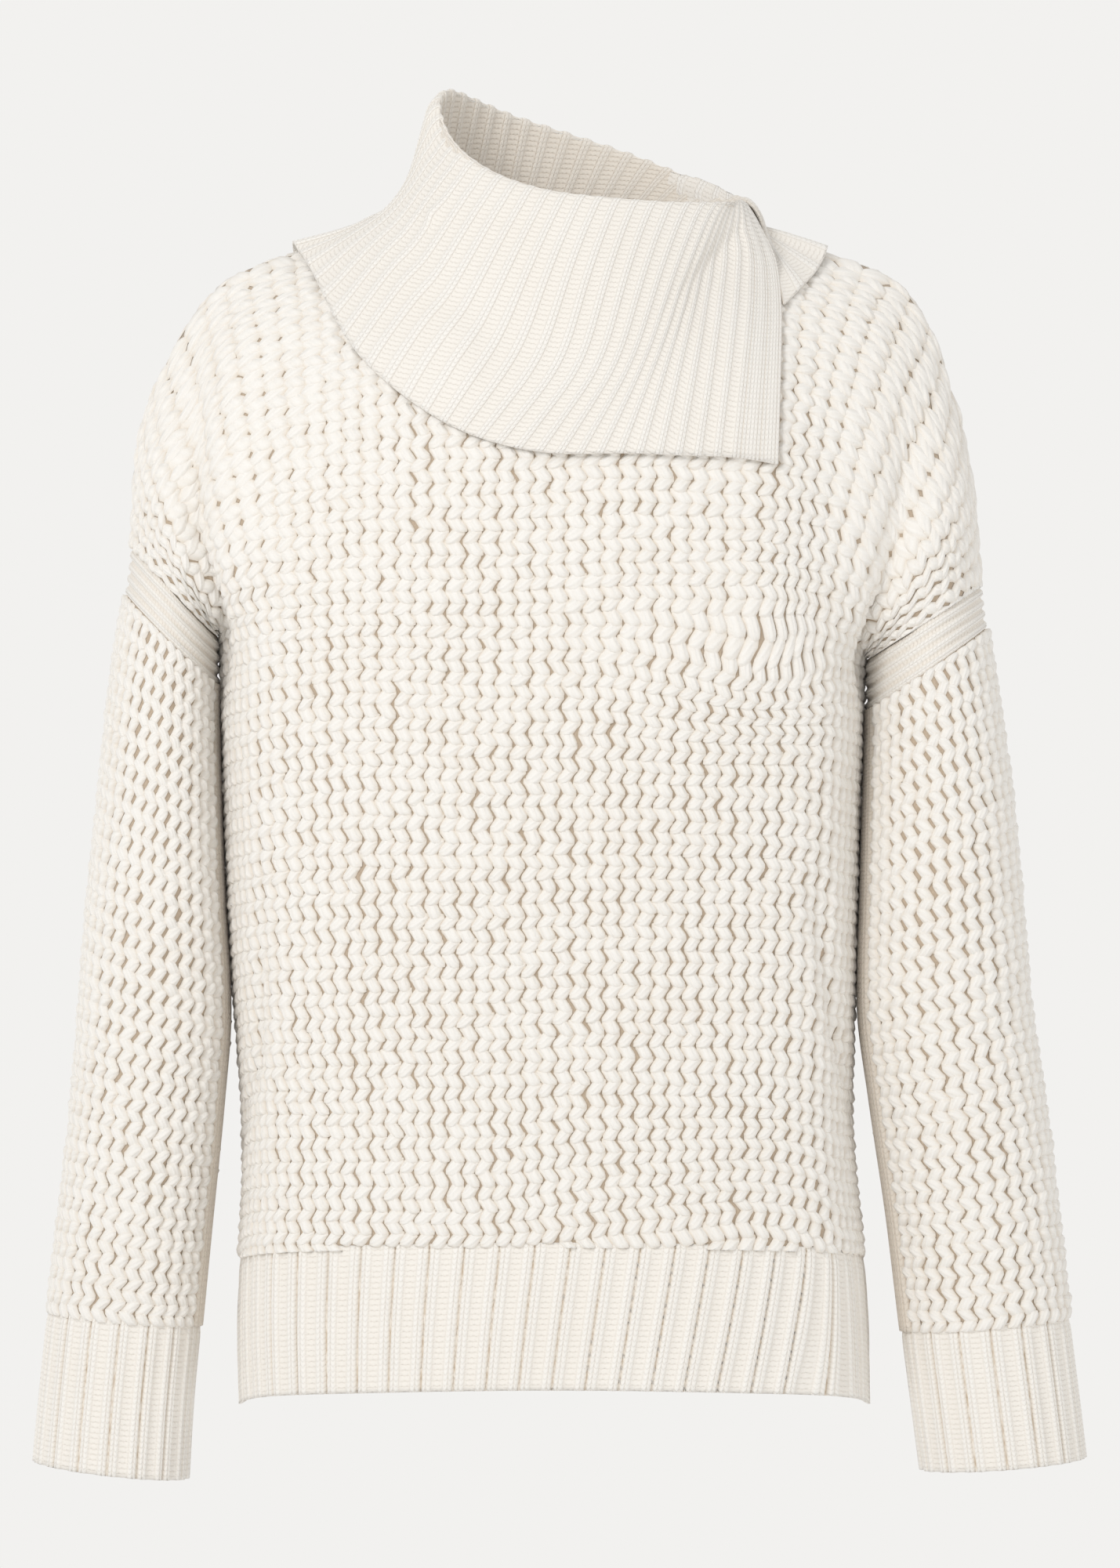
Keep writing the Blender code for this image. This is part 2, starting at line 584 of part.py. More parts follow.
def main():
    for old in list(bpy.data.objects):
        bpy.data.objects.remove(old)
    made = bpy.data.collections.new("Sweater")
    bpy.context.scene.collection.children.link(made)
    cream = (0.86, 0.83, 0.77)
    ribbed = (0.84, 0.80, 0.73)
    make_panel("front", -1, cream)
    make_panel("back", 1, cream)
    make_hem("front_hem", -1, ribbed)
    make_hem("back_hem", 1, ribbed)
    make_band("right_armhole_band", -1, RIGHT_SLEEVE, ribbed)
    make_band("left_armhole_band", 1, LEFT_SLEEVE, ribbed)
    make_sleeve("right_sleeve", RIGHT_SLEEVE, SLEEVE_DOWN, cream)
    make_sleeve("left_sleeve", LEFT_SLEEVE, SLEEVE_DOWN, cream)
    make_cuff("right_cuff", RIGHT_SLEEVE, ribbed)
    make_cuff("left_cuff", LEFT_SLEEVE, ribbed)
    make_collar("collar", ribbed)


main()
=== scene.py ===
"""The chunky-knit sweater as it looks: real stitches and ribs on the form of the solids.

Lengths are millimetres until a mesh is made. +X is the wearer's left, -Y the front, +Z up.
"""

import bpy
import numpy as np
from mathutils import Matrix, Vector
from mathutils.kdtree import KDTree


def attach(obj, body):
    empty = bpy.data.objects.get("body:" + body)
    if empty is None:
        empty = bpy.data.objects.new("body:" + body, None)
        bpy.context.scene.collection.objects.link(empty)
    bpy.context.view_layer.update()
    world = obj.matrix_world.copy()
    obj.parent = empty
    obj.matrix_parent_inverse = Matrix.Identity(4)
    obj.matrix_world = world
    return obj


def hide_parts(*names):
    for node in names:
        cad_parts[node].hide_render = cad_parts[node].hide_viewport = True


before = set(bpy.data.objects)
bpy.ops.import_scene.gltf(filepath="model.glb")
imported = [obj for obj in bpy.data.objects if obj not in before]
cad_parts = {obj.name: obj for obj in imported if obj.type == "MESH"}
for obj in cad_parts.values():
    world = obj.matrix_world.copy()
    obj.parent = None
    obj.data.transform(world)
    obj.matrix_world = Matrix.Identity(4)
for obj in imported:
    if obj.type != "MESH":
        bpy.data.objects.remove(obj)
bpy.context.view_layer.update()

MM = 0.001

# Heights along the knit, measured from the armpit line
TOP = 225.0
HEM_SEAM = -340.0
HEM_EDGE = -418.0

# Distance across a panel from its centre line to the neck point, and to the armhole edge
NECK_POINT = 84.0
ARMHOLE = 290.0
ACROSS = np.array([0.0, 30.0, 58.0, 76.0, NECK_POINT, 110.0, 160.0, 225.0, ARMHOLE])
UP = np.array([0.0, 45.0, 90.0, 135.0, 180.0, TOP])

# Upper front, a row per distance across, each with x, y, z from the armpit line to the top.
# The first six rows serve both sides, with x turned round on the wearer's right.
FRONT_CHEST = [
    [(0, -118, -214), (0, -118, -180), (0, -117, -146), (0, -112, -112), (0, -103, -79), (0, -90, -48)],
    [(30, -117, -214), (30, -118, -179), (30, -116, -144), (30, -111, -109), (31, -101, -75), (32, -86, -42)],
    [(57, -115, -214), (57, -115, -173), (57, -112, -132), (57, -105, -92), (58, -90, -53), (59, -66, -18)],
    [(75, -113, -214), (75, -112, -166), (75, -107, -119), (76, -94, -71), (77, -69, -29), (77, -34, 6)],
    [(83, -111, -214), (83, -110, -160), (83, -103, -108), (83, -86, -58), (82, -51, -12), (80, 0, 17)],
    [(110, -105, -214), (110, -104, -162), (111, -97, -111), (112, -79, -62), (113, -46, -20), (115, 0, 9)],
]
FRONT_RIGHT_ARM = [
    [(155, -86, -214), (158, -86, -172), (162, -81, -130), (168, -69, -88), (174, -43, -46), (181, 0, -10)],
    [(180, -49, -214), (190, -60, -192), (202, -66, -168), (214, -62, -141), (224, -38, -111), (229, 0, -80)],
]
FRONT_LEFT_ARM = [
    [(141, -86, -222), (145, -86, -178), (151, -81, -134), (160, -69, -90), (172, -43, -47), (187, 0, -12)],
    [(163, -49, -225), (174, -60, -204), (189, -68, -181), (205, -64, -154), (219, -40, -124), (225, 0, -92)],
]
BACK_CHEST = [
    [(0, 112, -214), (0, 114, -160), (0, 112, -106), (0, 104, -56), (0, 88, -12), (0, 68, 23)],
    [(30, 111, -214), (30, 113, -160), (30, 111, -106), (30, 103, -56), (31, 86, -12), (31, 65, 23)],
    [(57, 109, -214), (57, 110, -160), (57, 108, -106), (57, 98, -56), (57, 78, -12), (57, 54, 23)],
    [(75, 107, -214), (75, 107, -160), (75, 103, -107), (75, 91, -58), (76, 66, -16), (76, 30, 21)],
    [(83, 105, -214), (83, 105, -160), (83, 100, -107), (83, 85, -58), (82, 53, -14), (80, 0, 17)],
    [(110, 99, -214), (110, 99, -162), (111, 94, -111), (112, 77, -62), (113, 45, -20), (115, 0, 9)],
]
BACK_ARM_DEPTH = -0.94

# Body below the armpits: height along the knit, z at the centre and at the side,
# x of the right side, middle and left side, y of the front and back, z at the back's centre
BODY = [
    (-48, -262, -262, -187.9, -2, 170.0, -118, 112, -262),
    (-106, -320, -320, -186.4, -5, 168.4, -116, 110, -321),
    (-186, -400, -402, -182.3, -6, 166.2, -112, 107, -402),
    (-226, -440, -443, -178.8, -6, 164.8, -111, 107, -443),
    (-268, -480, -485, -176.0, -6, 164.0, -112, 108, -485),
    (-305, -515, -525, -176.0, -5, 167.0, -113, 109, -521),
    (HEM_SEAM, -548, -563, -178.3, -3, 171.5, -114, 110, -557),
    (-379, -587, -604, -179.5, -3, 174.0, -114, 110, -598),
    (HEM_EDGE, -626, -643, -178.8, -3, 174.7, -113, 109, -640),
]
# How far out and how deep the body's outline is at each distance across, as shares
BODY_OUT = np.array([0, 0.160, 0.305, 0.400, 0.443, 0.583, 0.822, 0.955, 1.0])
BODY_DEEP = np.array([1, 0.996, 0.979, 0.958, 0.945, 0.894, 0.729, 0.415, 0.0])

# Soft creases in the panels: points of distance across, height and depth, then the width
RIGHT_CREASES = [
    ([(188, 215, 0), (192, 195, 4), (198, 170, 9), (206, 135, 13), (217, 90, 14), (228, 45, 11),
      (242, 5, 6), (250, -40, 0)], 14),
    ([(176, -120, 0), (184, -180, 3.5), (203, -235, 4), (255, -272, 1), (270, -290, 0)], 13),
]
LEFT_CREASES = [
    ([(190, 200, 0), (196, 175, 4), (203, 140, 10), (213, 95, 13), (226, 50, 11),
      (242, 8, 6), (250, -35, 0)], 15),
    ([(165, -110, 0), (174, -160, 3.5), (199, -216, 4), (240, -258, 1.5), (262, -285, 0)], 13),
]

# Sleeve rings: distance down the sleeve, x and z of the outer side, x and z of the inner
# side, y of the middle, depth to the front and to the back
RIGHT_SLEEVE = [
    (0, -238.5, -162, -189.6, -214, 0, 60, 56),
    (26, -241.6, -189, -190.8, -240, -5, 58, 54),
    (50, -245.5, -214, -190.5, -263, -10, 57, 53),
    (80, -250.5, -255, -190.0, -287, -14, 57, 53),
    (128, -256.0, -312, -188.9, -326, -18, 56, 52),
    (170, -261.0, -358, -187.2, -364, -19, 55, 51),
    (212, -264.5, -400, -185.0, -403, -18, 53, 50),
    (238, -266.5, -426, -184.8, -427, -16, 52, 49),
    (282, -270.6, -471, -188.3, -471, -14, 49, 47),
    (352, -278.5, -541, -195.4, -541, -10, 45, 44),
    (404, -285.0, -591, -201.0, -598, -8, 42, 41),
    (446, -289.5, -633, -205.0, -641, -7, 42, 41),
    (488, -293.5, -674, -207.6, -684, -6, 42, 41),
]
LEFT_SLEEVE = [
    (0, 237.0, -184, 172.0, -226, 0, 62, 58),
    (26, 239.5, -208, 173.2, -254, -5, 60, 56),
    (50, 243.0, -233, 172.8, -275, -10, 59, 55),
    (80, 247.0, -262, 172.2, -296, -14, 59, 54),
    (128, 253.4, -312, 170.9, -330, -18, 58, 53),
    (170, 257.0, -353, 170.0, -362, -19, 57, 52),
    (212, 260.8, -396, 168.8, -400, -18, 55, 51),
    (238, 263.5, -424, 169.3, -424, -16, 54, 50),
    (282, 270.6, -471, 175.6, -471, -14, 51, 48),
    (352, 279.5, -541, 186.0, -541, -10, 48, 46),
    (404, 285.5, -594, 193.3, -601, -8, 45, 44),
    (446, 290.6, -634, 198.4, -640, -7, 44, 43),
    (488, 295.3, -672, 203.5, -679, -6, 44, 43),
]
BAND_END = 26.0
CUFF_SEAM = 404.0
CUFF_EDGE = 488.0

# Collar, a row per place round the strip, from its front end at the wearer's left, past the
# right shoulder, to its back end: rib number, the panel it is sewn to and the distance across
# there, the fold line's x, y, z, the fold's size, how far the fall swells, then distance across
# and height on the panel where the fall first rests, and the same for its free edge.
# Distances across are positive on the wearer's left.
COLLAR = [
    (0.0, "front", 77, 102.0, -25, 31.0, 7, 1, 117, 190, 118, 83),
    (2.2, "front", 73, 101.2, -31, 29.6, 7, 2, 105, 180, 96, 80),
    (4.4, "front", 67, 99.0, -37, 28.6, 7, 2, 90, 172, 74, 94),
    (7.8, "front", 55, 91.5, -46, 27.8, 7, 2, 60, 178, 38, 123),
    (11.8, "front", 28, 57.6, -61, 26.7, 8, 3, 27, 194, -6, 129),
    (15.2, "front", 5, 24.3, -66, 28.9, 8, 3, -7, 203, -44, 129),
    (18.3, "front", -22, -5.2, -62, 33.1, 8, 3, -35, 213, -72, 119),
    (21.0, "front", -44, -29.1, -52, 41.4, 9, 2, -58, 213, -102, 125),
    (23.7, "front", -62, -48.8, -38, 53.9, 10, 0, -76, 214, -116, 153),
    (27.0, "front", -76, -62.2, -18, 71.0, 11, -3, -90, 217, -128, 205),
    (30.0, "front", -84, -66.5, 4, 90.0, 11, -6, -98, 225, -134, 225),
    (32.0, "back", -78, -60.6, 22, 96.6, 11, -5, -90, 214, -134, 194),
    (34.3, "back", -64, -45.0, 45, 93.0, 10, -2, -78, 212, -120, 163),
    (36.3, "back", -42, -27.7, 60, 87.0, 9, 1, -55, 212, -85, 140),
    (39.2, "back", -12, 5.0, 70, 77.0, 8, 2, -18, 212, -30, 132),
    (42.1, "back", 18, 39.4, 69, 65.6, 8, 2, 25, 212, 25, 132),
    (44.4, "back", 42, 65.0, 62, 55.0, 8, 2, 58, 212, 75, 140),
    (46.3, "back", 60, 83.7, 50, 46.0, 8, 2, 80, 212, 106, 157),
    (48.2, "back", 74, 97.0, 32, 39.0, 8, 1, 98, 213, 126, 185),
    (50.0, "front", 84, 104.5, 8, 34.5, 8, 0, 112, 225, 137, 225),
    (51.6, "front", 82, 105.5, -8, 33.0, 8, 0, 113, 215, 131, 196),
    (53.0, "front", 80, 104.5, -20, 31.4, 8, 0, 112.5, 206, 119, 168),
]

# The collar's wall, how far it stays off the panels, how much more at the shoulder seam,
# and the place along its ribs where the fall starts to rest on the panels
COLLAR_WALL = 2.6
COLLAR_CLEAR = 4.0
SHOULDER_CLEAR = 4.5
FALL_STARTS = 5.0

# Stitches of the chunky knit: spacing along a row, and between rows
STITCH_WIDE = 9.0
STITCH_TALL = 6.6

# One stitch, a fat lobe of yarn: place along it from its top, half width, height, tone there, with painted
# shade making the tone darker towards both ends.
# Its top is tucked under the row above, and its lower end lies on the row below.
LOBE = [
    (-1.0, 2.7, 0.9, 0.80),
    (-0.55, 3.5, 1.9, 0.95),
    (0.05, 3.8, 2.8, 1.0),
    (0.6, 3.7, 3.1, 1.0),
    (1.0, 2.7, 2.3, 0.9),
]
# Across the lobe: place, share of the height, share of the tone, which is painted shade darker at the edges
# where neighbouring lobes meet
LOBE_ACROSS = [
    (-1.0, -0.05, 0.6),
    (-0.64, 0.76, 0.93),
    (0.0, 1.0, 1.0),
    (0.64, 0.76, 0.93),
    (1.0, -0.05, 0.6),
]
# How far a lobe reaches from its middle, across and along the column
LOBE_REACH = (4.4, 3.7)
SLEEVE_COLUMNS = 29

# The cloth under the stitches: how far below the surface it starts, and how far down it ends
CLOTH_TOP = 0.3
CLOTH_FOOT = 2.4

# Ribs round each ribbed piece, and the height of one small stitch in them
HEM_RIBS = 25
CUFF_RIBS = 16
COLLAR_RIBS = 53
RIB_STITCH = 3.0

# One period of a rib, a row per place from 0 to 1: place, rise, tone, how far it is purl there. The tone is
# painted shade, darker in the creases and sunk purl rows
HALF_WIDE_RIB = [
    (0.0, -1.3, 0.3, 0),
    (0.03, -0.4, 0.65, 0),
    (0.07, 0.6, 0.95, 0),
    (0.10, 0.8, 1.0, 0),
    (0.165, 0.55, 0.88, 0),
    (0.23, 0.8, 1.0, 0),
    (0.29, 0.55, 0.95, 0),
    (0.34, -0.2, 0.85, 0.6),
    (0.42, -0.5, 0.84, 1),
    (0.5, -0.5, 0.84, 1),
]
WIDE_RIB = HALF_WIDE_RIB + [(1 - row[0], *row[1:]) for row in HALF_WIDE_RIB[-2::-1]]
COLLAR_RIB = [
    (0.0, 0.1, 0.85, 0),
    (0.06, 0.7, 0.97, 0),
    (0.11, 0.8, 1.0, 0),
    (0.2, 0.6, 0.93, 0),
    (0.29, 0.8, 1.0, 0),
    (0.34, 0.7, 0.97, 0),
    (0.42, 0.1, 0.85, 0.3),
    (0.5, -0.35, 0.84, 1),
    (0.7, -0.4, 0.84, 1),
    (0.92, -0.35, 0.84, 1),
    (1.0, 0.1, 0.85, 0.3),
]
BAND_RIB = [
    (0.0, -0.5, 0.7, 1),
    (0.2, -0.5, 0.7, 1),
    (0.36, 0.2, 0.85, 0.3),
    (0.48, 0.8, 1.0, 0),
    (0.64, 0.55, 0.9, 0),
    (0.78, 0.8, 1.0, 0),
    (0.9, 0.2, 0.85, 0.3),
    (1.0, -0.5, 0.7, 1),
]
FINE_WALE = [
    (0.0, -0.3, 0.75, 0),
    (0.25, 0.35, 0.97, 0),
    (0.5, 0.5, 1.0, 0),
    (0.75, 0.35, 0.97, 0),
    (1.0, -0.3, 0.75, 0),
]
BAND_RIBS = 4
STRIP_WALES = 7
STRIP_PROUD = 1.7

# The hem's ribs lean: so far at the wearer's right, then so much more between the first two
# distances along the hem, which fades between the last two
HEM_LEAN = 4.0
HEM_LEAN_MORE = -21.0
HEM_LEAN_ALONG = (50.0, 330.0, 380.0, 430.0)
# Lengths at the hem's two ends that are plain, and how softly the ribs start there
HEM_PLAIN = (16.0, 14.0)
HEM_SOFT = 8.0

# The fall is drawn tight round this rib of the collar, over so many ribs to each side
BRIDGE_RIB = 22.0
BRIDGE_REACH = 6.0
BRIDGE_SHARE = 0.75

# The soft crease down the collar's fall, seen from the front: where it starts and stops (x, z)
COLLAR_CREASE = [(101.5, 13.5), (42.0, -53.0)]

# How far round each sleeve the underarm strip reaches: after the seam, and before it
UNDERARM = {"right": (0.06, 0.03), "left": (0.07, 0.03)}

# Mesh points of each piece: across or round it, then along it
PANEL_MESH = (117, 80)
SLEEVE_MESH = (72, 60)
BAND_MESH = (200, 35)
STRIP_MESH = (41, 90)
# Mesh points across each rib, then along it, and for the collar along its stand, fold and fall
HEM_MESH = (20, 24)
CUFF_MESH = (18, 26)
COLLAR_MESH = (9, 18, 15, 35)

# Colours of the yarn from its darkest hollow to its top; the dark end is painted shade in hollows and holes.
# The second ramp is the same cream yarn painted darker and tan, as the shade along the underarm strip
CREAM = [
    (0.0, (0.42, 0.31, 0.21)),
    (0.3, (0.66, 0.56, 0.45)),
    (0.6, (0.86, 0.80, 0.72)),
    (1.0, (0.93, 0.905, 0.865)),
]
UNDERARM_SHADE = [
    (0.0, (0.36, 0.26, 0.18)),
    (0.3, (0.58, 0.48, 0.38)),
    (0.6, (0.76, 0.67, 0.57)),
    (1.0, (0.86, 0.80, 0.72)),
]

# The room: paper colour, heights and distances of floor and wall, camera, world light
PAPER = (0.888, 0.880, 0.863)
FLOOR_AT = -760.0
ROOM = 9e3
CAMERA_AT = (0.0011, -4.0, -0.295)
CAMERA_VIEW_TALL = 0.8804
WORLD_LIGHT = 0.78
# Lamps: name, place in metres, width, power, all aimed at one point of the body
LAMPS = [
    ("key", (-1.6, -3.0, 1.4), 1.2, 44),
    ("fill", (2.4, -2.6, 0.3), 2.2, 9),
]
LAMPS_AIM = (0, 0, -0.3)


def through(knots, values, at):
    """The smooth curve through values at knots, read at each place of at."""
    knots = np.asarray(knots, float)
    values = np.asarray(values, float)
    at = np.clip(np.asarray(at, float), knots[0], knots[-1])
    slopes = np.gradient(values, knots, axis=0)
    i = np.clip(np.searchsorted(knots, at, side="right") - 1, 0, len(knots) - 2)
    span = knots[i + 1] - knots[i]
    s = (at - knots[i]) / span
    more = (1,) * (values.ndim - 1)
    s, span = s.reshape(-1, *more), span.reshape(-1, *more)
    a, b = values[i], values[i + 1]
    p, q = slopes[i] * span, slopes[i + 1] * span
    return a + s * p + s * s * (3 * (b - a) - 2 * p - q) + s ** 3 * (2 * (a - b) + p + q)


def unit(v):
    return v / np.maximum(np.linalg.norm(v, axis=-1, keepdims=True), 1e-9)


def tube(rings, down, turn):
    """Points of a sleeve, a row per distance down and a column per turn.
    Turn 0 is the inner side, a quarter is the front and a half is the outer side."""
    r = through([row[0] for row in rings], [row[1:] for row in rings], down)
    xo, zo, xi, zi, mid, front, back = (r[:, k:k + 1] for k in range(7))
    c, s = np.cos(2 * np.pi * turn), np.sin(2 * np.pi * turn)
    deep = np.where(s >= 0, front, back)
    x = (xo + xi) / 2 + (xi - xo) / 2 * c
    z = (zo + zi) / 2 + (zi - zo) / 2 * c
    return np.stack([x, mid - deep * s, z], -1)


def ring_turn(share):
    """Where a share of the armhole's half round lies, in turns, at an even pace along it."""
    return 0.5 * (share - 0.037 * np.sin(2 * np.pi * share))


def armhole(side, face, share):
    """The armhole seam from the armpit to the shoulder seam, with its outward normals."""
    rings = LEFT_SLEEVE if side > 0 else RIGHT_SLEEVE
    turn = ring_turn(share) * (1 if face < 0 else -1)
    here = tube(rings, [0.0], turn)[0]
    out = unit(here - tube(rings, [0.0], np.array([0.0, 0.5]))[0].mean(0))
    folded = np.exp(-(share / 0.16) ** 2)[:, None]
    normal = unit(out * (1 - folded) + np.array([0, 0, -1.0]) * folded)
    along = unit(np.gradient(here, axis=0))
    down = np.cross(along, normal) * (side * -face)
    return here, normal, unit(down)


def body_rows(side, face):
    """The table of the panel's points on one side: heights, then a row of points for each height."""
    chest = np.array(FRONT_CHEST if face < 0 else BACK_CHEST, float)
    arm = np.array(FRONT_LEFT_ARM if side > 0 else FRONT_RIGHT_ARM, float)
    if face > 0:
        arm = arm * (1, BACK_ARM_DEPTH, 1)
    edge = armhole(side, face, UP / TOP)[0] * (side, 1, 1)
    upper = np.concatenate([chest, arm, edge[None]]).transpose(1, 0, 2) * (side, 1, 1)
    heights, rows = list(UP), list(upper)
    for up, z_mid, z_side, x_right, x_mid, x_left, y_front, y_back, z_back in BODY:
        x_side = x_left if side > 0 else x_right
        z_here = z_mid if face < 0 else z_back
        deep = y_front if face < 0 else y_back
        x = x_mid + (x_side - x_mid) * BODY_OUT
        z = z_here + (z_side - z_here) * (ACROSS / ARMHOLE) ** 2
        heights.insert(0, up)
        rows.insert(0, np.stack([x, deep * BODY_DEEP, z], -1))
    return np.array(heights), np.array(rows)


def panel(side, face, across, up):
    """Points on the outside of a panel, a row per height and a column per distance across."""
    heights, rows = body_rows(side, face)
    lines = through(heights, rows, up)
    return through(ACROSS, lines.transpose(1, 0, 2), across).transpose(1, 0, 2)


def normals_of(surface, rows, columns, row_step, column_step):
    """Unit normals of a surface, from points a small step to each side."""
    by_row = surface(rows + row_step, columns) - surface(rows - row_step, columns)
    by_column = surface(rows, columns + column_step) - surface(rows, columns - column_step)
    return unit(np.cross(by_column, by_row))


def crease_depth(creases, across, up):
    """How far the creases press the panel in, for each row and column."""
    total = np.zeros((len(up), len(across)))
    for points, width in creases:
        p = np.array(points[::-1], float)
        centre = np.interp(up, p[:, 1], p[:, 0])
        depth = np.interp(up, p[:, 1], p[:, 2], left=0, right=0)
        total += depth[:, None] * np.exp(-((across[None, :] - centre[:, None]) / width) ** 2)
    return total


def half_panel(side, face, across, up):
    """Outer points and outward normals of half a panel, with its creases pressed in."""
    facing = -1 if side * face > 0 else 1
    creases = LEFT_CREASES if side > 0 else RIGHT_CREASES

    def plain(rows, columns):
        return panel(side, face, columns, rows)

    def creased(rows, columns):
        out = normals_of(plain, rows, columns, 1.0, 1.0) * facing
        return plain(rows, columns) - out * crease_depth(creases, columns, rows)[..., None]

    return creased(up, across), normals_of(creased, up, across, 1.0, 1.0) * facing


def whole_panel(face, across, up):
    """Both halves side by side, from the wearer's right to their left."""
    right, right_n = half_panel(-1, face, across, up)
    left, left_n = half_panel(1, face, across, up)
    middle_n = unit(right_n[:, :1] + left_n[:, :1])
    grid = np.concatenate([right[:, :0:-1], left], 1)
    normal = np.concatenate([right_n[:, :0:-1], middle_n, left_n[:, 1:]], 1)
    return grid, normal


def sleeve_points(rings, down, turn):
    """Points of a sleeve with normals that point away from its middle line."""

    def surface(rows, columns):
        return tube(rings, rows, columns)

    grid = surface(down, turn)
    normal = normals_of(surface, down, turn, 1.0, 0.002)
    if np.sum(normal * (grid - grid.mean(1, keepdims=True))) < 0:
        normal = -normal
    return grid, normal


def on_panel(face, across, up, off):
    """A point off the outside of a panel, its distance across positive on the wearer's left."""
    side = 1 if across > 0 else -1
    grid, normal = half_panel(side, face, np.array([abs(across)]), np.array([float(up)]))
    point, out = grid[0, 0], normal[0, 0]
    if up >= TOP and abs(across) >= NECK_POINT:
        point, out = point * (1, 0, 1), unit(out * (1, 0, 1))
    return point + out * off


def collar_lines():
    """The collar's shape: rib numbers, and for each the points from the neck seam to the free edge."""
    ribs, lines = [], []
    for rib, panel_name, sewn, x, y, z, size, swell, rest_at, rest_up, edge_at, edge_up in COLLAR:
        face = -1 if panel_name == "front" else 1
        off = COLLAR_CLEAR + COLLAR_WALL
        crest = np.array([x, y, z])
        seam = on_panel(face, sewn, TOP, 0)
        to_neck = unit((np.array([8.0, -8.0, 0]) - seam) * (1, 1, 0))
        lean = max(-np.dot(crest - seam, to_neck), 0)
        base = seam + to_neck * (COLLAR_WALL + 1.1) + np.array([0, 0, 2.1 + 0.12 * lean])
        rest = on_panel(face, rest_at, rest_up, off)
        edge = on_panel(face, edge_at, edge_up, off)
        middle = on_panel(face, (rest_at + edge_at) / 2, (rest_up + edge_up) / 2, off)
        away = unit((rest - crest) * (1, 1, 0))
        shoulder = crest + away * size - np.array([0, 0, 0.75 * size])
        falling = (shoulder + rest) / 2 + away * swell
        stand = (base + crest) / 2 + to_neck * 1.5
        brow = (base + 5 * crest) / 6 + to_neck * 1.2
        ribs.append(rib)
        lines.append([base, stand, brow, crest, shoulder, falling, rest, middle, edge])
    return np.array(ribs), np.array(lines)


def eased(values, times):
    """Rows of values, each moved towards the mean of its neighbours so many times. The ends stay."""
    values = values.copy()
    for _ in range(times):
        values[1:-1] = values[1:-1] / 2 + (values[:-2] + values[2:]) / 4
    return values


def bridged(grid, places, ribs):
    """Draws the fall tight over the wearer's right front shoulder, towards a straight line."""
    start = np.searchsorted(places, 3.6)
    part = grid[start:]
    run = np.cumsum(np.linalg.norm(np.diff(part, axis=0, prepend=part[:1]), axis=-1), axis=0)
    straight = part[0] + (part[-1] - part[0]) * (run / run[-1])[..., None]
    share = BRIDGE_SHARE * np.exp(-((ribs - BRIDGE_RIB) / BRIDGE_REACH) ** 4)
    share = share[None, :] * np.clip((places[start:] - 3.6) / 0.8, 0, 1)[:, None]
    grid[start:] = part + (straight - part) * share[..., None]
    return grid


def collar_surface():
    """The collar's face over rib number and place along the rib, 0 at the seam, 8 at the edge."""
    ribs, lines = collar_lines()
    fine_ribs = np.linspace(0, COLLAR_RIBS, 2 * COLLAR_RIBS + 1)
    places = np.linspace(0, lines.shape[1] - 1, 41)
    grid = through(ribs, lines, fine_ribs)
    grid = through(np.arange(lines.shape[1], dtype=float), grid.transpose(1, 0, 2), places)
    smooth = eased(eased(grid, 8).transpose(1, 0, 2), 12).transpose(1, 0, 2)
    share = np.clip((places - 3.2) / 0.8, 0, 1)[:, None, None]
    grid = grid * (1 - share) + smooth * share
    grid = bridged(grid, places, fine_ribs)

    def surface(rows, columns):
        across = through(fine_ribs, grid.transpose(1, 0, 2), columns)
        return through(places, across.transpose(1, 0, 2), rows)

    return surface


class Patch:
    """A surface kept as a fine grid, to be read at any place on it."""

    def __init__(self, rows, columns, points, normals):
        if rows[0] > rows[-1]:
            rows, points, normals = rows[::-1], points[::-1], normals[::-1]
        self.rows, self.columns = rows, columns
        self.points, self.normals = points, normals
        step = np.linalg.norm(np.diff(points, axis=0), axis=-1)
        self.height = np.concatenate([np.zeros((1, len(columns))), np.cumsum(step, 0)])

    def weights(self, row, column):
        """The grid cell that holds each place, and how far into the cell it lies."""
        r, c = self.rows, self.columns
        i = np.clip(np.searchsorted(r, row, side="right") - 1, 0, len(r) - 2)
        j = np.clip(np.searchsorted(c, column, side="right") - 1, 0, len(c) - 2)
        a = np.clip((row - r[i]) / (r[i + 1] - r[i]), 0, 1)
        b = np.clip((column - c[j]) / (c[j + 1] - c[j]), 0, 1)
        return i, j, a[..., None], b[..., None]

    def at(self, row, column):
        """Points and normals at places on the surface."""
        i, j, a, b = self.weights(row, column)
        found = []
        for g in (self.points, self.normals):
            low = g[i, j] * (1 - b) + g[i, j + 1] * b
            high = g[i + 1, j] * (1 - b) + g[i + 1, j + 1] * b
            found.append(low * (1 - a) + high * a)
        return found[0], unit(found[1])

    def down_column(self, values, column):
        """Values kept for each grid point, read down one column."""
        c = self.columns
        j = int(np.clip(np.searchsorted(c, column, side="right") - 1, 0, len(c) - 2))
        b = (column - c[j]) / (c[j + 1] - c[j])
        return values[:, j] * (1 - b) + values[:, j + 1] * b

    def row_at(self, height, column):
        """The row at a height in millimetres above the first row, and the column's full height."""
        run = self.down_column(self.height, column)
        return np.interp(height, run, self.rows), run[-1]


def panel_patch(face):
    """A whole panel, kept fine enough for the stitches to follow it."""
    across = np.arange(0, ARMHOLE + 1, 5.0)
    up = np.linspace(TOP, HEM_SEAM, 114)
    points, normals = whole_panel(face, across, up)
    points[..., 1] = face * np.maximum(points[..., 1] * face, 0.05)
    return Patch(up, np.concatenate([-across[:0:-1], across]), points, normals)


def sleeve_patch(rings, start, stop):
    """A sleeve between two distances down it, once round from the underarm."""
    down = np.linspace(start, stop, 96)
    turn = np.linspace(0, 1, 121)
    points, normals = sleeve_points(rings, down, turn)
    return Patch(down, turn, points, normals)


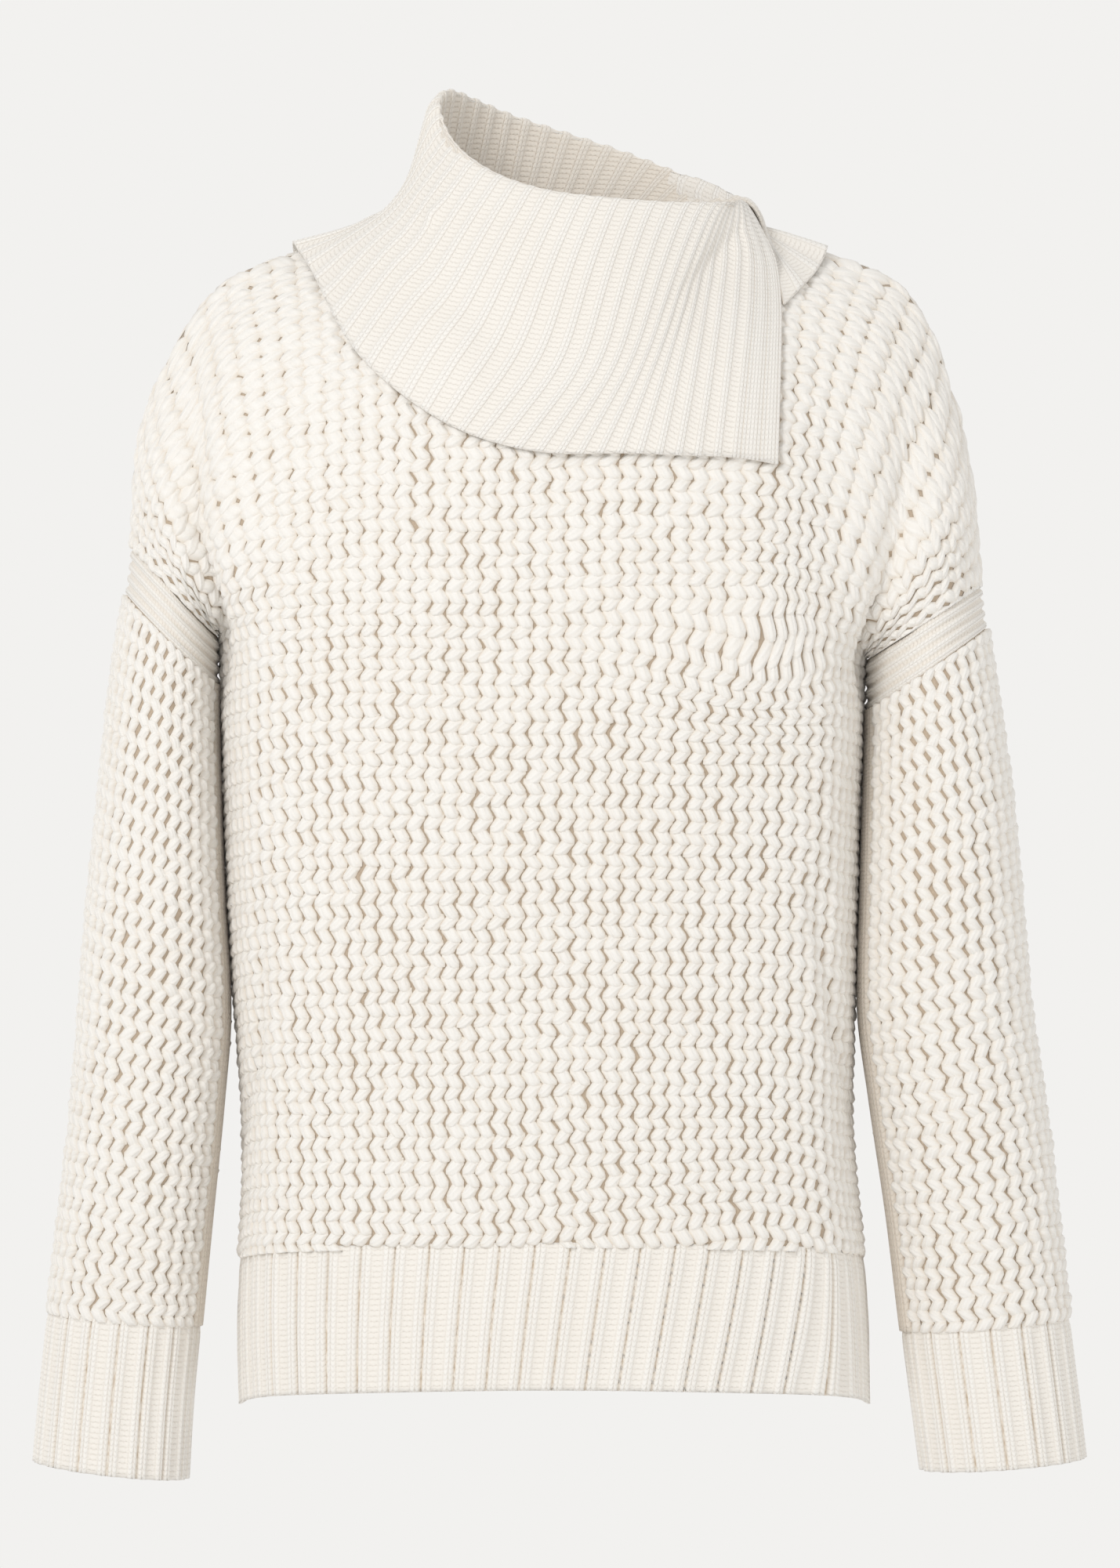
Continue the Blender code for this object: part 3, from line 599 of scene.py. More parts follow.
def new_object(name, points, faces, materials):
    mesh = bpy.data.meshes.new(name)
    mesh.from_pydata((points.reshape(-1, 3) * MM).tolist(), [], faces)
    mesh.shade_smooth()
    made = bpy.data.objects.new(name, mesh)
    bpy.context.scene.collection.objects.link(made)
    for material in materials:
        mesh.materials.append(material)
    return made


def add_values(made, name, values):
    """Keeps a number or three for each point, for the materials to read."""
    kind = "FLOAT" if values.ndim == 1 else "FLOAT_VECTOR"
    layer = made.data.attributes.new(name, kind, "POINT")
    layer.data.foreach_set("value" if values.ndim == 1 else "vector", values.astype(np.float32).ravel())


def grid_faces(rows, columns, ring):
    """Faces of a grid of points, closed round where it is a ring."""
    j = np.arange(columns if ring else columns - 1)
    k = (j + 1) % columns
    i = np.arange(rows - 1)[:, None] * columns
    return np.stack([i + j, i + k, i + columns + k, i + columns + j], -1).reshape(-1, 4)


def shell(name, outer, inner, ring, materials):
    """A closed wall between two grids, its inside in the second material."""
    rows, columns = outer.shape[:2]
    lift = rows * columns
    out = grid_faces(rows, columns, ring)
    back = out[:, ::-1] + lift
    j = np.arange(columns if ring else columns - 1)
    k = (j + 1) % columns
    last = (rows - 1) * columns
    rims = [np.stack([k, j, j + lift, k + lift], -1),
            np.stack([last + j, last + k, last + k + lift, last + j + lift], -1)]
    if not ring:
        a = np.arange(rows - 1) * columns
        b = a + columns
        rims.append(np.stack([a, b, b + lift, a + lift], -1))
        a, b = a + columns - 1, b + columns - 1
        rims.append(np.stack([b, a, a + lift, b + lift], -1))
    faces = np.concatenate([out, back, *rims])
    inside = np.zeros(len(faces), np.int32)
    inside[len(out):len(out) + len(back)] = len(materials) - 1
    points = np.concatenate([outer.reshape(-1, 3), inner.reshape(-1, 3)])
    p = points[out[:, [0, 1, 3]]]
    facing = np.cross(p[:, 1] - p[:, 0], p[:, 2] - p[:, 0])
    away = outer.reshape(-1, 3)[out[:, 0]] - inner.reshape(-1, 3)[out[:, 0]]
    if (facing * away).sum() < 0:
        faces = faces[:, ::-1]
    made = new_object(name, points, faces.tolist(), materials)
    made.data.polygons.foreach_set("material_index", inside)
    return made


def lobe_template():
    """Points, tones and faces of one stitch: two tips, and rings of points between them."""
    points, shades, faces = [], [], []
    for along, half, rise, tone in LOBE:
        for across, up, share in LOBE_ACROSS:
            points.append((along * 0.86, across * half, up * rise))
            shades.append(tone * share)
    # the tips' tones are painted shade, dark where they tuck under the neighbouring lobes
    points += [(-1.16, 0.0, 0.1), (1.16, 0.0, 0.3)]
    shades += [0.4, 0.6]
    n = len(LOBE_ACROSS)
    for i in range(len(LOBE) - 1):
        for k in range(n - 1):
            a = i * n + k
            faces.append((a, a + 1, a + 1 + n, a + n))
    low, high = len(LOBE) * n, len(LOBE) * n + 1
    top = (len(LOBE) - 1) * n
    for k in range(n - 1):
        faces.append((low, k + 1, k))
        faces.append((high, top + k, top + k + 1))
    return np.array(points), np.array(shades), faces


def stitches(name, patch, centres, material, seed):
    """Lobes of yarn, leaning one way in one row and the other way in the next.

    Each centre is its row and column on the patch, the row's number, how much row and column
    change over one stitch, and how far its own row stays square to the column.
    """
    rng = np.random.default_rng(seed)
    c = np.array(centres)
    template, shades, faces = lobe_template()
    n = len(c)
    along, across, rise = template.T
    lean = np.where(c[:, 2].astype(int) % 2 == 0, 1.0, -1.0)[:, None]
    left, _ = patch.at(c[:, 0], c[:, 1] - c[:, 4] / 2)
    right, _ = patch.at(c[:, 0], c[:, 1] + c[:, 4] / 2)
    low, _ = patch.at(c[:, 0] - c[:, 3] / 2, c[:, 1])
    high, _ = patch.at(c[:, 0] + c[:, 3] / 2, c[:, 1])
    # millimetres per unit of row and column: up the column, and how far a row leans and reaches
    up = (high - low) / c[:, 3:4]
    side = (right - left) / c[:, 4:5]
    climb = np.linalg.norm(up, axis=-1)[:, None]
    leaning = np.sum(side * unit(up), axis=-1)[:, None] * c[:, 5:6]
    reach = np.linalg.norm(side - unit(up) * leaning, axis=-1)[:, None]
    spread = np.clip(reach * c[:, 4:5] / STITCH_WIDE, 0.3, 2.0)
    squeeze = np.minimum(spread, 1.0)
    slope = np.arctan2(LOBE_REACH[1], LOBE_REACH[0]) + rng.normal(0, 0.06, (n, 1))
    wide = LOBE_REACH[0] * (1 + rng.normal(0, 0.07, (n, 1)))
    tall = LOBE_REACH[1] * (1 + rng.normal(0, 0.04, (n, 1)))
    bow = 0.45 * np.sin(np.pi * along)[None, :]
    fat = np.clip(spread, 1.0, 1.3) + rng.normal(0, 0.05, (n, 1))
    x = lean * (wide * along[None, :] - bow)
    y = -(tall * along[None, :] + bow)
    x = x + lean * fat * across * np.sin(slope) + rng.normal(0, 0.35, (n, 1))
    y = y + fat * across * np.cos(slope) + rng.normal(0, 0.25, (n, 1))
    across_by = x * spread / reach
    column = c[:, 1:2] + across_by
    row = c[:, 0:1] + (y * np.abs(climb * c[:, 3:4]) / STITCH_TALL - across_by * leaning) / climb
    points, normals = patch.at(row, column)
    puff = (1 + rng.normal(0, 0.09, (n, 1))) * squeeze ** 0.8
    points = points + normals * (rise[None, :] * puff)[..., None]
    listed = []
    for f in faces:
        listed += (np.arange(n)[:, None] * len(template) + np.array(f)).tolist()
    first = listed[0]
    flat = points.reshape(-1, 3)
    p = flat[first[:3]]
    if np.dot(np.cross(p[1] - p[0], p[2] - p[0]), normals.reshape(-1, 3)[first[0]]) < 0:
        listed = [f[::-1] for f in listed]
    made = new_object(name, flat, listed, [material])
    # the template's painted shade, eased where lobes are squeezed, with a little random tone on top
    tone = 1 - (1 - shades[None, :]) * squeeze
    tone = np.clip(tone + rng.normal(0, 0.025, (n, 1)), 0, 1)
    add_values(made, "tone", tone.ravel())
    yarn = np.stack([np.broadcast_to(along * 5.5, (n, len(template))),
                     np.broadcast_to(across, (n, len(template))) * lean,
                     np.broadcast_to(rng.uniform(0, 40, (n, 1)), (n, len(template)))], -1)
    add_values(made, "yarn", yarn.reshape(-1, 3))
    return made


def panel_levels(patch):
    """How high the knit's rows stand at each place of a panel, level across the columns."""
    points = patch.points
    middle = int(np.argmin(np.abs(patch.columns)))
    up = unit(np.gradient(points, axis=0))
    step = np.sum(np.diff(points, axis=1) * (up[:, 1:] + up[:, :-1]) / 2, axis=-1)
    levels = np.zeros(points.shape[:2])
    levels[:, middle] = patch.height[:, middle]
    for j in range(middle, points.shape[1] - 1):
        levels[:, j + 1] = levels[:, j] + step[:, j]
    for j in range(middle, 0, -1):
        levels[:, j - 1] = levels[:, j] - step[:, j - 1]
    return np.maximum.accumulate(levels, axis=0)


def panel_centres(patch):
    """Where the stitches of a panel go: columns at even spacing, rows level across them."""
    mid = np.searchsorted(patch.rows, -150.0)
    run = np.linalg.norm(np.diff(patch.points[mid], axis=0), axis=-1)
    run = np.concatenate([[0], np.cumsum(run)])
    half = np.interp(0, patch.columns, run)
    count = int(half / STITCH_WIDE)
    marks = half + np.arange(-count, count + 1) * half / (count + 0.35)
    columns = np.interp(marks, run, patch.columns)
    levels = panel_levels(patch)
    found = []
    for i, column in enumerate(columns):
        sides = marks[i] + np.array([-0.5, 0.5]) * STITCH_WIDE
        near = np.interp(sides, run, patch.columns)
        step = max(near[1] - near[0], 7.0)
        level = patch.down_column(levels, column)
        plain = patch.down_column(patch.height, column)
        share = 1 - stretch(abs(column), 110.0, 190.0)
        level = level * share + plain * (1 - share)
        sway = 1.2 * np.sin(column / 47.0) + 0.5 * np.sin(column / 19.0)
        first = int(np.ceil((level[0] - sway) / STITCH_TALL + 0.1))
        last = int((level[-1] - sway) / STITCH_TALL - 0.1)
        number = np.arange(first, last + 1)
        heights = (number + 0.1) * STITCH_TALL + sway
        rows = np.interp(heights, level, patch.rows)
        above = np.interp(heights + STITCH_TALL / 2, level, patch.rows)
        below = np.interp(heights - STITCH_TALL / 2, level, patch.rows)
        for k in range(len(number)):
            row_step = max(above[k] - below[k], 3.0)
            found.append((rows[k], column, number[k], row_step, step, share))
    return found


def sleeve_centres(patch, count, strip):
    """Stitches round a sleeve, left off the strip of fine wales along the underarm."""
    found = []
    span = 1 - strip[0] - strip[1]
    middle = patch.row_at(0.0, 0.5)[1]
    number = np.arange(int(middle / STITCH_TALL))
    for i in range(count):
        turn = strip[0] + span * (i + 0.5) / count
        _, full = patch.row_at(0.0, turn)
        heights = (number + 0.5) * full / len(number) + 0.8 * np.sin(turn * 17 + number * 0.09)
        rows, _ = patch.row_at(heights, turn)
        above, _ = patch.row_at(heights + full / len(number) / 2, turn)
        below, _ = patch.row_at(heights - full / len(number) / 2, turn)
        for k in number:
            found.append((rows[k], turn, k, above[k] - below[k], span / count, 1.0))
    return found


def profile(place, shape):
    """Rise, tone and purl over one period of a rib, from a table of places."""
    table = np.array(shape)
    return [np.interp(place % 1.0, table[:, 0], table[:, k]) for k in (1, 2, 3)]


def ribbed(name, grid, normal, rib, wales, rise, shape, thick, along, ring, materials,
           plain=None, flat=None, dim=None):
    """A wall whose outside is raised in ribs.

    rib counts periods of so many wales, and along is the way up a rib in millimetres.
    plain blends to fine wales without purl, flat lowers the relief, and dim darkens the tone with painted
    shade.
    """
    height, tone, purl = profile(rib, shape)
    if plain is not None:
        fine = profile(rib * wales, FINE_WALE)
        both = zip((height, tone, purl), fine)
        height, tone, purl = [a * (1 - plain) + b * plain for a, b in both]
    if flat is not None:
        height = height * flat
    if dim is not None:
        tone = tone * dim
    outer = grid + normal * (height * rise)[..., None]
    inner = grid - normal * thick
    made = shell(name, outer, inner, ring, materials)
    add_values(made, "tone", np.concatenate([tone.ravel(), tone.ravel()]))
    spot = np.stack([rib * wales, along, purl], -1).reshape(-1, 3)
    add_values(made, "yarn", np.concatenate([spot, spot]))
    return made


def stretch(value, low, high):
    """0 below low, 1 above high, straight between."""
    return np.clip((value - low) / (high - low), 0, 1)


def over(values, grid):
    """Values spread over every point of a grid."""
    return np.broadcast_to(values, grid.shape[:2])


def fading_in(down):
    """0 just before a seam and 1 from 5 mm past it: the ribs rise out of the seam."""
    return stretch(down, -3.0, 5.0)


def hem(name, face, materials):
    """One ribbed hem band, from side seam to side seam."""
    share = np.linspace(-1, 1, HEM_RIBS * HEM_MESH[0] + 1)
    up = np.linspace(HEM_SEAM + 3.0, HEM_EDGE, HEM_MESH[1])
    halves = []
    for side, part in ((-1, share[share < 0]), (1, share[share >= 0])):
        across = np.abs(part) * ARMHOLE
        order = np.argsort(across)
        grid, normal = half_panel(side, face, across[order], up)
        back = np.argsort(order)
        halves.append((grid[:, back], normal[:, back]))
    grid = np.concatenate([halves[0][0], halves[1][0]], 1)
    normal = np.concatenate([halves[0][1], halves[1][1]], 1)
    grid[..., 1] = face * np.maximum(grid[..., 1] * face, 0.05)
    run = np.linalg.norm(np.diff(grid[10], axis=0), axis=-1)
    run = np.concatenate([[0], np.cumsum(run)])
    down = stretch(-up, -HEM_SEAM, -HEM_EDGE)[:, None]
    grows, full, fades, gone = HEM_LEAN_ALONG
    lean = HEM_LEAN + HEM_LEAN_MORE * stretch(run, grows, full) * stretch(-run, -gone, -fades)
    rib = (run - lean * down) / run[-1] * HEM_RIBS
    first, last = HEM_PLAIN
    at_first = stretch(-run, -first - HEM_SOFT, -first)
    at_last = stretch(run, run[-1] - last - HEM_SOFT, run[-1] - last)
    plain = over(np.maximum(at_first, at_last), grid)
    flat = over(fading_in(HEM_SEAM - up)[:, None], grid)
    along = over((up[0] - up)[:, None], grid)
    return ribbed(name, grid, normal, rib, 6, 1.5, WIDE_RIB, 1.0, along, False, materials,
                  plain=plain, flat=flat)


def cuff(name, rings, materials):
    """The wide ribs at a sleeve's end."""
    down = np.linspace(CUFF_SEAM - 3.0, CUFF_EDGE, CUFF_MESH[1])
    count = CUFF_RIBS * CUFF_MESH[0]
    turn = np.arange(count) / count
    grid, normal = sleeve_points(rings, down, turn)
    rib = over(turn * CUFF_RIBS, grid)
    along = over(down[:, None], grid)
    flat = over(fading_in(down - CUFF_SEAM)[:, None], grid)
    return ribbed(name, grid, normal, rib, 6, 1.5, WIDE_RIB, 1.0, along, True, materials, flat=flat)


def band(name, rings, materials):
    """The narrow ribs round an armhole, between panel and sleeve."""
    down = np.linspace(0.0, BAND_END + 2.5, BAND_MESH[1])
    turn = np.arange(BAND_MESH[0]) / BAND_MESH[0]
    grid, normal = sleeve_points(rings, down, turn)
    rib = over((down / BAND_END * BAND_RIBS)[:, None], grid)
    along = over((turn * 290)[None, :], grid)
    return ribbed(name, grid, normal, rib, 3, 1.3, BAND_RIB, 1.0, along, True, materials)


def underarm(name, patch, strip, materials):
    """The strip of fine wales along a sleeve's underarm seam, as proud as the stitches beside it."""
    turn = np.linspace(-strip[1], strip[0], STRIP_MESH[0])
    rows = np.linspace(patch.rows[0], patch.rows[-1], STRIP_MESH[1])
    r, c = np.meshgrid(rows, turn, indexing="ij")
    grid, normal = patch.at(r, c % 1.0)
    rib = over(np.linspace(0, STRIP_WALES, STRIP_MESH[0]), grid)
    edge = np.minimum(1, np.minimum(rib, STRIP_WALES - rib) / 0.8)
    grid = grid + normal * (STRIP_PROUD * edge)[..., None]
    # painted shade: the underarm strip is darkened a little more, for the shade under the arm
    dim = np.full(r.shape, 0.95)
    return ribbed(name, grid, normal, rib, 1, 1.0, FINE_WALE, 1.5, r, False, materials, dim=dim)


def lift_off(points, patches, clear):
    """How far each point of the fall moves out, for its hidden side to clear the stitches."""
    spots = np.concatenate([p.points.reshape(-1, 3) for p in patches])
    outs = np.concatenate([p.normals.reshape(-1, 3) for p in patches])
    near = np.flatnonzero(spots[:, 2] > -160)
    spots, outs = spots[near], outs[near]
    tree = KDTree(len(spots))
    for k, spot in enumerate(spots):
        tree.insert(spot, k)
    tree.balance()
    flat = points.reshape(-1, 3)
    found = np.array([tree.find(p)[1] for p in flat])
    height = np.sum((flat - spots[found]) * outs[found], axis=1)
    wanted = clear + SHOULDER_CLEAR * np.exp(-(flat[:, 1] / 12) ** 2)
    return (outs[found] * np.maximum(wanted - height, 0)[:, None]).reshape(points.shape)


def collar(name, patches, materials):
    """The folded collar: it stands on the neck seam, turns over and rests on the panels."""
    surface = collar_surface()
    count = COLLAR_RIBS * COLLAR_MESH[0]
    columns = np.linspace(0, COLLAR_RIBS, count + 1)
    stand = np.linspace(0, 3, COLLAR_MESH[1])
    fold = np.linspace(3, FALL_STARTS, COLLAR_MESH[2])[1:]
    rows = np.concatenate([stand, fold, np.linspace(FALL_STARTS, 8, COLLAR_MESH[3])[1:]])
    grid = surface(rows, columns)
    normal = normals_of(surface, rows, columns, 0.02, 0.05)
    fall = np.flatnonzero(rows >= FALL_STARTS)[0]
    if normal[fall, count // 4, 1] > 0:
        normal = -normal
    lift = lift_off(grid - normal * 1.8, patches, COLLAR_CLEAR)
    lift[:fall] = 0
    grid = grid + eased(eased(lift, 3).transpose(1, 0, 2), 3).transpose(1, 0, 2)
    steps = np.linalg.norm(np.diff(grid, axis=0), axis=-1)
    along = np.concatenate([np.zeros((1, count + 1)), np.cumsum(steps, 0)])
    rib = over(columns, grid)
    r = over(rows[:, None], grid)
    # a soft crease runs down the fall from the fold on the wearer's left
    start, stop = np.array(COLLAR_CREASE[0]), np.array(COLLAR_CREASE[1])
    spot = grid[..., [0, 2]] - start
    share = np.clip(spot @ (stop - start) / np.sum((stop - start) ** 2), 0, 1)
    gap = np.linalg.norm(spot - share[..., None] * (stop - start), axis=-1)
    front = (grid[..., 1] < 0) & (r > 3.2)
    trough = 2.4 * np.exp(-(gap / 5.0) ** 2) * (1 - 0.7 * share) * front
    grid = grid - normal * trough[..., None]
    plain = over(stretch(-columns, -2.6, -2.1), grid)
    smooth = np.exp(-((r - 3.2) / 1.1) ** 2) * stretch(-rib, -30, -24)
    # painted shade: the stand's rows, inside the fold of the collar, are darkened
    dim = 1 - 0.30 * stretch(-r, -3.4, -2.4)
    return ribbed(name, grid, normal, rib, 5, 1.0, COLLAR_RIB, 1.8, along, False, materials,
                  plain=plain, flat=1 - 0.75 * smooth, dim=dim)


def cloth(name, patch, columns, row_count, ring, materials):
    """The wall of cloth that the stitches stand on."""
    rows = np.linspace(patch.rows[0], patch.rows[-1], row_count)
    r, c = np.meshgrid(rows, columns, indexing="ij")
    points, normals = patch.at(r, c)
    outer = points - normals * CLOTH_TOP
    return shell(name, outer, points - normals * CLOTH_FOOT, ring, materials)


class Nodes:
    """Builds a material's node tree with short calls."""

    def __init__(self, name):
        self.material = bpy.data.materials.new(name)
        self.material.use_nodes = True
        self.tree = self.material.node_tree
        self.shader = self.tree.nodes["Principled BSDF"]

    def add(self, kind, inputs=(), **settings):
        node = self.tree.nodes.new(kind)
        for key, value in settings.items():
            setattr(node, key, value)
        for key, value in dict(inputs).items():
            if isinstance(value, bpy.types.NodeSocket):
                self.tree.links.new(value, node.inputs[key])
            else:
                node.inputs[key].default_value = value
        return node

    def math(self, operation, a, b=0.0, c=0.0):
        return self.add("ShaderNodeMath", {0: a, 1: b, 2: c}, operation=operation).outputs[0]


def tones(nodes, value, stops):
    """A colour for a value, from places and colours."""
    ramp = nodes.add("ShaderNodeValToRGB", {0: value})
    made = ramp.color_ramp
    while len(made.elements) < len(stops):
        made.elements.new(0.5)
    for element, (place, colour) in zip(made.elements, stops):
        element.position = place
        element.color = (*colour, 1)
    return ramp.outputs[0]


def fuzz_and_cloud(n):
    """Fine noise for the fibres, and wide noise for the cloth's slow change of tone."""
    place = n.add("ShaderNodeNewGeometry").outputs["Position"]
    fine = {"Vector": place, "Scale": 900.0, "Detail": 3.0, "Roughness": 0.7}
    wide = {"Vector": place, "Scale": 22.0, "Detail": 2.0}
    fuzz = n.add("ShaderNodeTexNoise", fine).outputs["Fac"]
    cloud = n.add("ShaderNodeTexNoise", wide).outputs["Fac"]
    return fuzz, cloud


def finish_yarn(n, shade, height, stops, depth=0.0007):
    """Colour from the shade, relief from the height, and the soft dull surface of the yarn."""
    bump = n.add("ShaderNodeBump", {"Height": height, "Strength": 0.6, "Distance": depth}).outputs[0]
    s = n.shader.inputs
    n.tree.links.new(tones(n, shade, stops), s["Base Color"])
    n.tree.links.new(bump, s["Normal"])
    s["Roughness"].default_value = 0.88
    s["Sheen Weight"].default_value = 0.2
    s["Sheen Roughness"].default_value = 0.6
    s["Specular IOR Level"].default_value = 0.2
    return n.material


def lobe_material(name, stops):
    """The fat yarn of the chunky knit, its plies twisted round each other."""
    n = Nodes(name)
    fuzz, cloud = fuzz_and_cloud(n)
    tone = n.add("ShaderNodeAttribute", attribute_name="tone").outputs["Fac"]
    spot = n.add("ShaderNodeAttribute", attribute_name="yarn").outputs["Vector"]
    parts = n.add("ShaderNodeSeparateXYZ", {0: spot})
    slant = n.math("MULTIPLY_ADD", parts.outputs[0], 0.55, parts.outputs[2])
    ply = n.math("SINE", n.math("MULTIPLY_ADD", parts.outputs[1], 2.3, slant))
    height = n.math("MULTIPLY_ADD", ply, 0.35, n.math("MULTIPLY", fuzz, 0.9))
    # painted shade in the grooves between the plies
    shade = n.math("MULTIPLY_ADD", ply, 0.05, tone)
    shade = n.math("MULTIPLY_ADD", n.math("SUBTRACT", cloud, 0.5), 0.12, shade)
    return finish_yarn(n, shade, height, stops)


def rib_material(name, stops):
    """Ribbing: smooth wales of small V stitches, and between them purl bumps with pinholes."""
    n = Nodes(name)
    fuzz, cloud = fuzz_and_cloud(n)
    tone = n.add("ShaderNodeAttribute", attribute_name="tone").outputs["Fac"]
    spot = n.add("ShaderNodeAttribute", attribute_name="yarn").outputs["Vector"]
    parts = n.add("ShaderNodeSeparateXYZ", {0: spot})
    wale, along, purl = parts.outputs
    step = n.math("DIVIDE", along, RIB_STITCH)

    def saw(value):
        """0 in the middle of each unit, 1 at its ends."""
        centred = n.math("SUBTRACT", n.math("FRACT", value), 0.5)
        return n.math("MULTIPLY", n.math("ABSOLUTE", centred), 2.0)

    side = saw(wale)
    leg = n.math("POWER", saw(n.math("MULTIPLY_ADD", side, 0.45, step)), 4.0)
    groove = n.math("POWER", side, 5.0)
    knit = n.math("MULTIPLY_ADD", leg, -0.5, n.math("MULTIPLY", groove, -0.7))
    half = n.math("MULTIPLY", n.math("FLOOR", step), 0.5)
    bump = n.math("POWER", saw(step), 3.0)
    hole = n.math("MULTIPLY", bump, n.math("POWER", saw(n.math("ADD", wale, half)), 2.0))
    seed = n.math("MULTIPLY_ADD", bump, -0.25, n.math("MULTIPLY", hole, -0.9))
    smooth = n.math("MULTIPLY", knit, n.math("SUBTRACT", 1.0, purl))
    relief = n.math("ADD", smooth, n.math("MULTIPLY", seed, purl))
    height = n.math("MULTIPLY_ADD", fuzz, 0.6, relief)
    # painted shade: the relief's grooves, stitch edges and pinholes are darkened
    shade = n.math("MULTIPLY_ADD", relief, 0.24, tone)
    shade = n.math("MULTIPLY_ADD", n.math("SUBTRACT", cloud, 0.5), 0.12, shade)
    return finish_yarn(n, shade, height, stops, 0.0009)


def ground_material(name, stops):
    """What shows in the small holes between the fat stitches, painted dark tan as the shadow in them."""
    n = Nodes(name)
    fuzz, _ = fuzz_and_cloud(n)
    # painted shadow: the dark end of the yarn's ramp, with fibre noise
    shade = n.math("MULTIPLY_ADD", fuzz, 0.3, 0.0)
    height = n.math("MULTIPLY", fuzz, 1.2)
    return finish_yarn(n, shade, height, stops)


def inside_material(name):
    """The plain side of the knit: rows of small purl bumps."""
    n = Nodes(name)
    place = n.add("ShaderNodeNewGeometry").outputs["Position"]
    fuzz = n.add("ShaderNodeTexNoise", {"Vector": place, "Scale": 700.0, "Detail": 3.0}).outputs["Fac"]
    cells = n.add("ShaderNodeTexVoronoi", {"Vector": place, "Scale": 190.0}).outputs["Distance"]
    height = n.math("MULTIPLY_ADD", cells, -1.0, n.math("MULTIPLY", fuzz, 0.4))
    # painted shade: darker away from the middle of each purl bump, where the bumps meet
    colour = tones(n, n.math("MULTIPLY_ADD", cells, -0.9, 1.0), CREAM)
    bump = n.add("ShaderNodeBump", {"Height": height, "Strength": 0.7, "Distance": 0.0012}).outputs[0]
    n.tree.links.new(colour, n.shader.inputs["Base Color"])
    n.tree.links.new(bump, n.shader.inputs["Normal"])
    n.shader.inputs["Roughness"].default_value = 0.9
    return n.material


def plain_material(name, colour):
    """Evenly lit paper, the same tone wherever the camera looks."""
    n = Nodes(name)
    n.shader.inputs["Base Color"].default_value = (0, 0, 0, 1)
    n.shader.inputs["Roughness"].default_value = 1.0
    n.shader.inputs["Specular IOR Level"].default_value = 0.0
    n.shader.inputs["Emission Color"].default_value = (*colour, 1)
    n.shader.inputs["Emission Strength"].default_value = 1.0
    return n.material


def studio():
    """Camera in front, pale paper behind and below, and soft light."""
    scene = bpy.context.scene
    scene.view_settings.view_transform = "Standard"
    camera = bpy.data.objects.new("camera", bpy.data.cameras.new("camera"))
    scene.collection.objects.link(camera)
    camera.location = CAMERA_AT
    camera.rotation_euler = (np.pi / 2, 0, 0)
    camera.data.lens = 36 * 4.0 / CAMERA_VIEW_TALL
    scene.camera = camera

    world = bpy.data.worlds.new("studio")
    scene.world = world
    world.use_nodes = True
    back = world.node_tree.nodes["Background"]
    back.inputs[0].default_value = (*PAPER, 1)
    back.inputs[1].default_value = WORLD_LIGHT

    paper = plain_material("paper", PAPER)
    low_front = [(-ROOM, -ROOM, FLOOR_AT), (ROOM, -ROOM, FLOOR_AT)]
    low_back = [(ROOM, ROOM, FLOOR_AT), (-ROOM, ROOM, FLOOR_AT)]
    high_back = [(-ROOM, ROOM, ROOM), (ROOM, ROOM, ROOM)]
    floor = new_object("floor", np.array(low_front + low_back), [(0, 1, 2, 3)], [paper])
    wall = new_object("wall", np.array(low_back[::-1] + high_back[::-1]), [(0, 1, 2, 3)], [paper])

    for name, place, size, power in LAMPS:
        light = bpy.data.objects.new(name, bpy.data.lights.new(name, "AREA"))
        scene.collection.objects.link(light)
        light.location = place
        light.data.size = size
        light.data.energy = power
        towards = np.array(LAMPS_AIM, float) - np.array(place, float)
        light.rotation_euler = Vector(towards).to_track_quat("-Z", "Y").to_euler()


def place_piece(piece, node):
    """Puts a piece on the body it moves with, and hides the solid it stands for."""
    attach(piece, "root")
    if node:
        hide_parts(node)


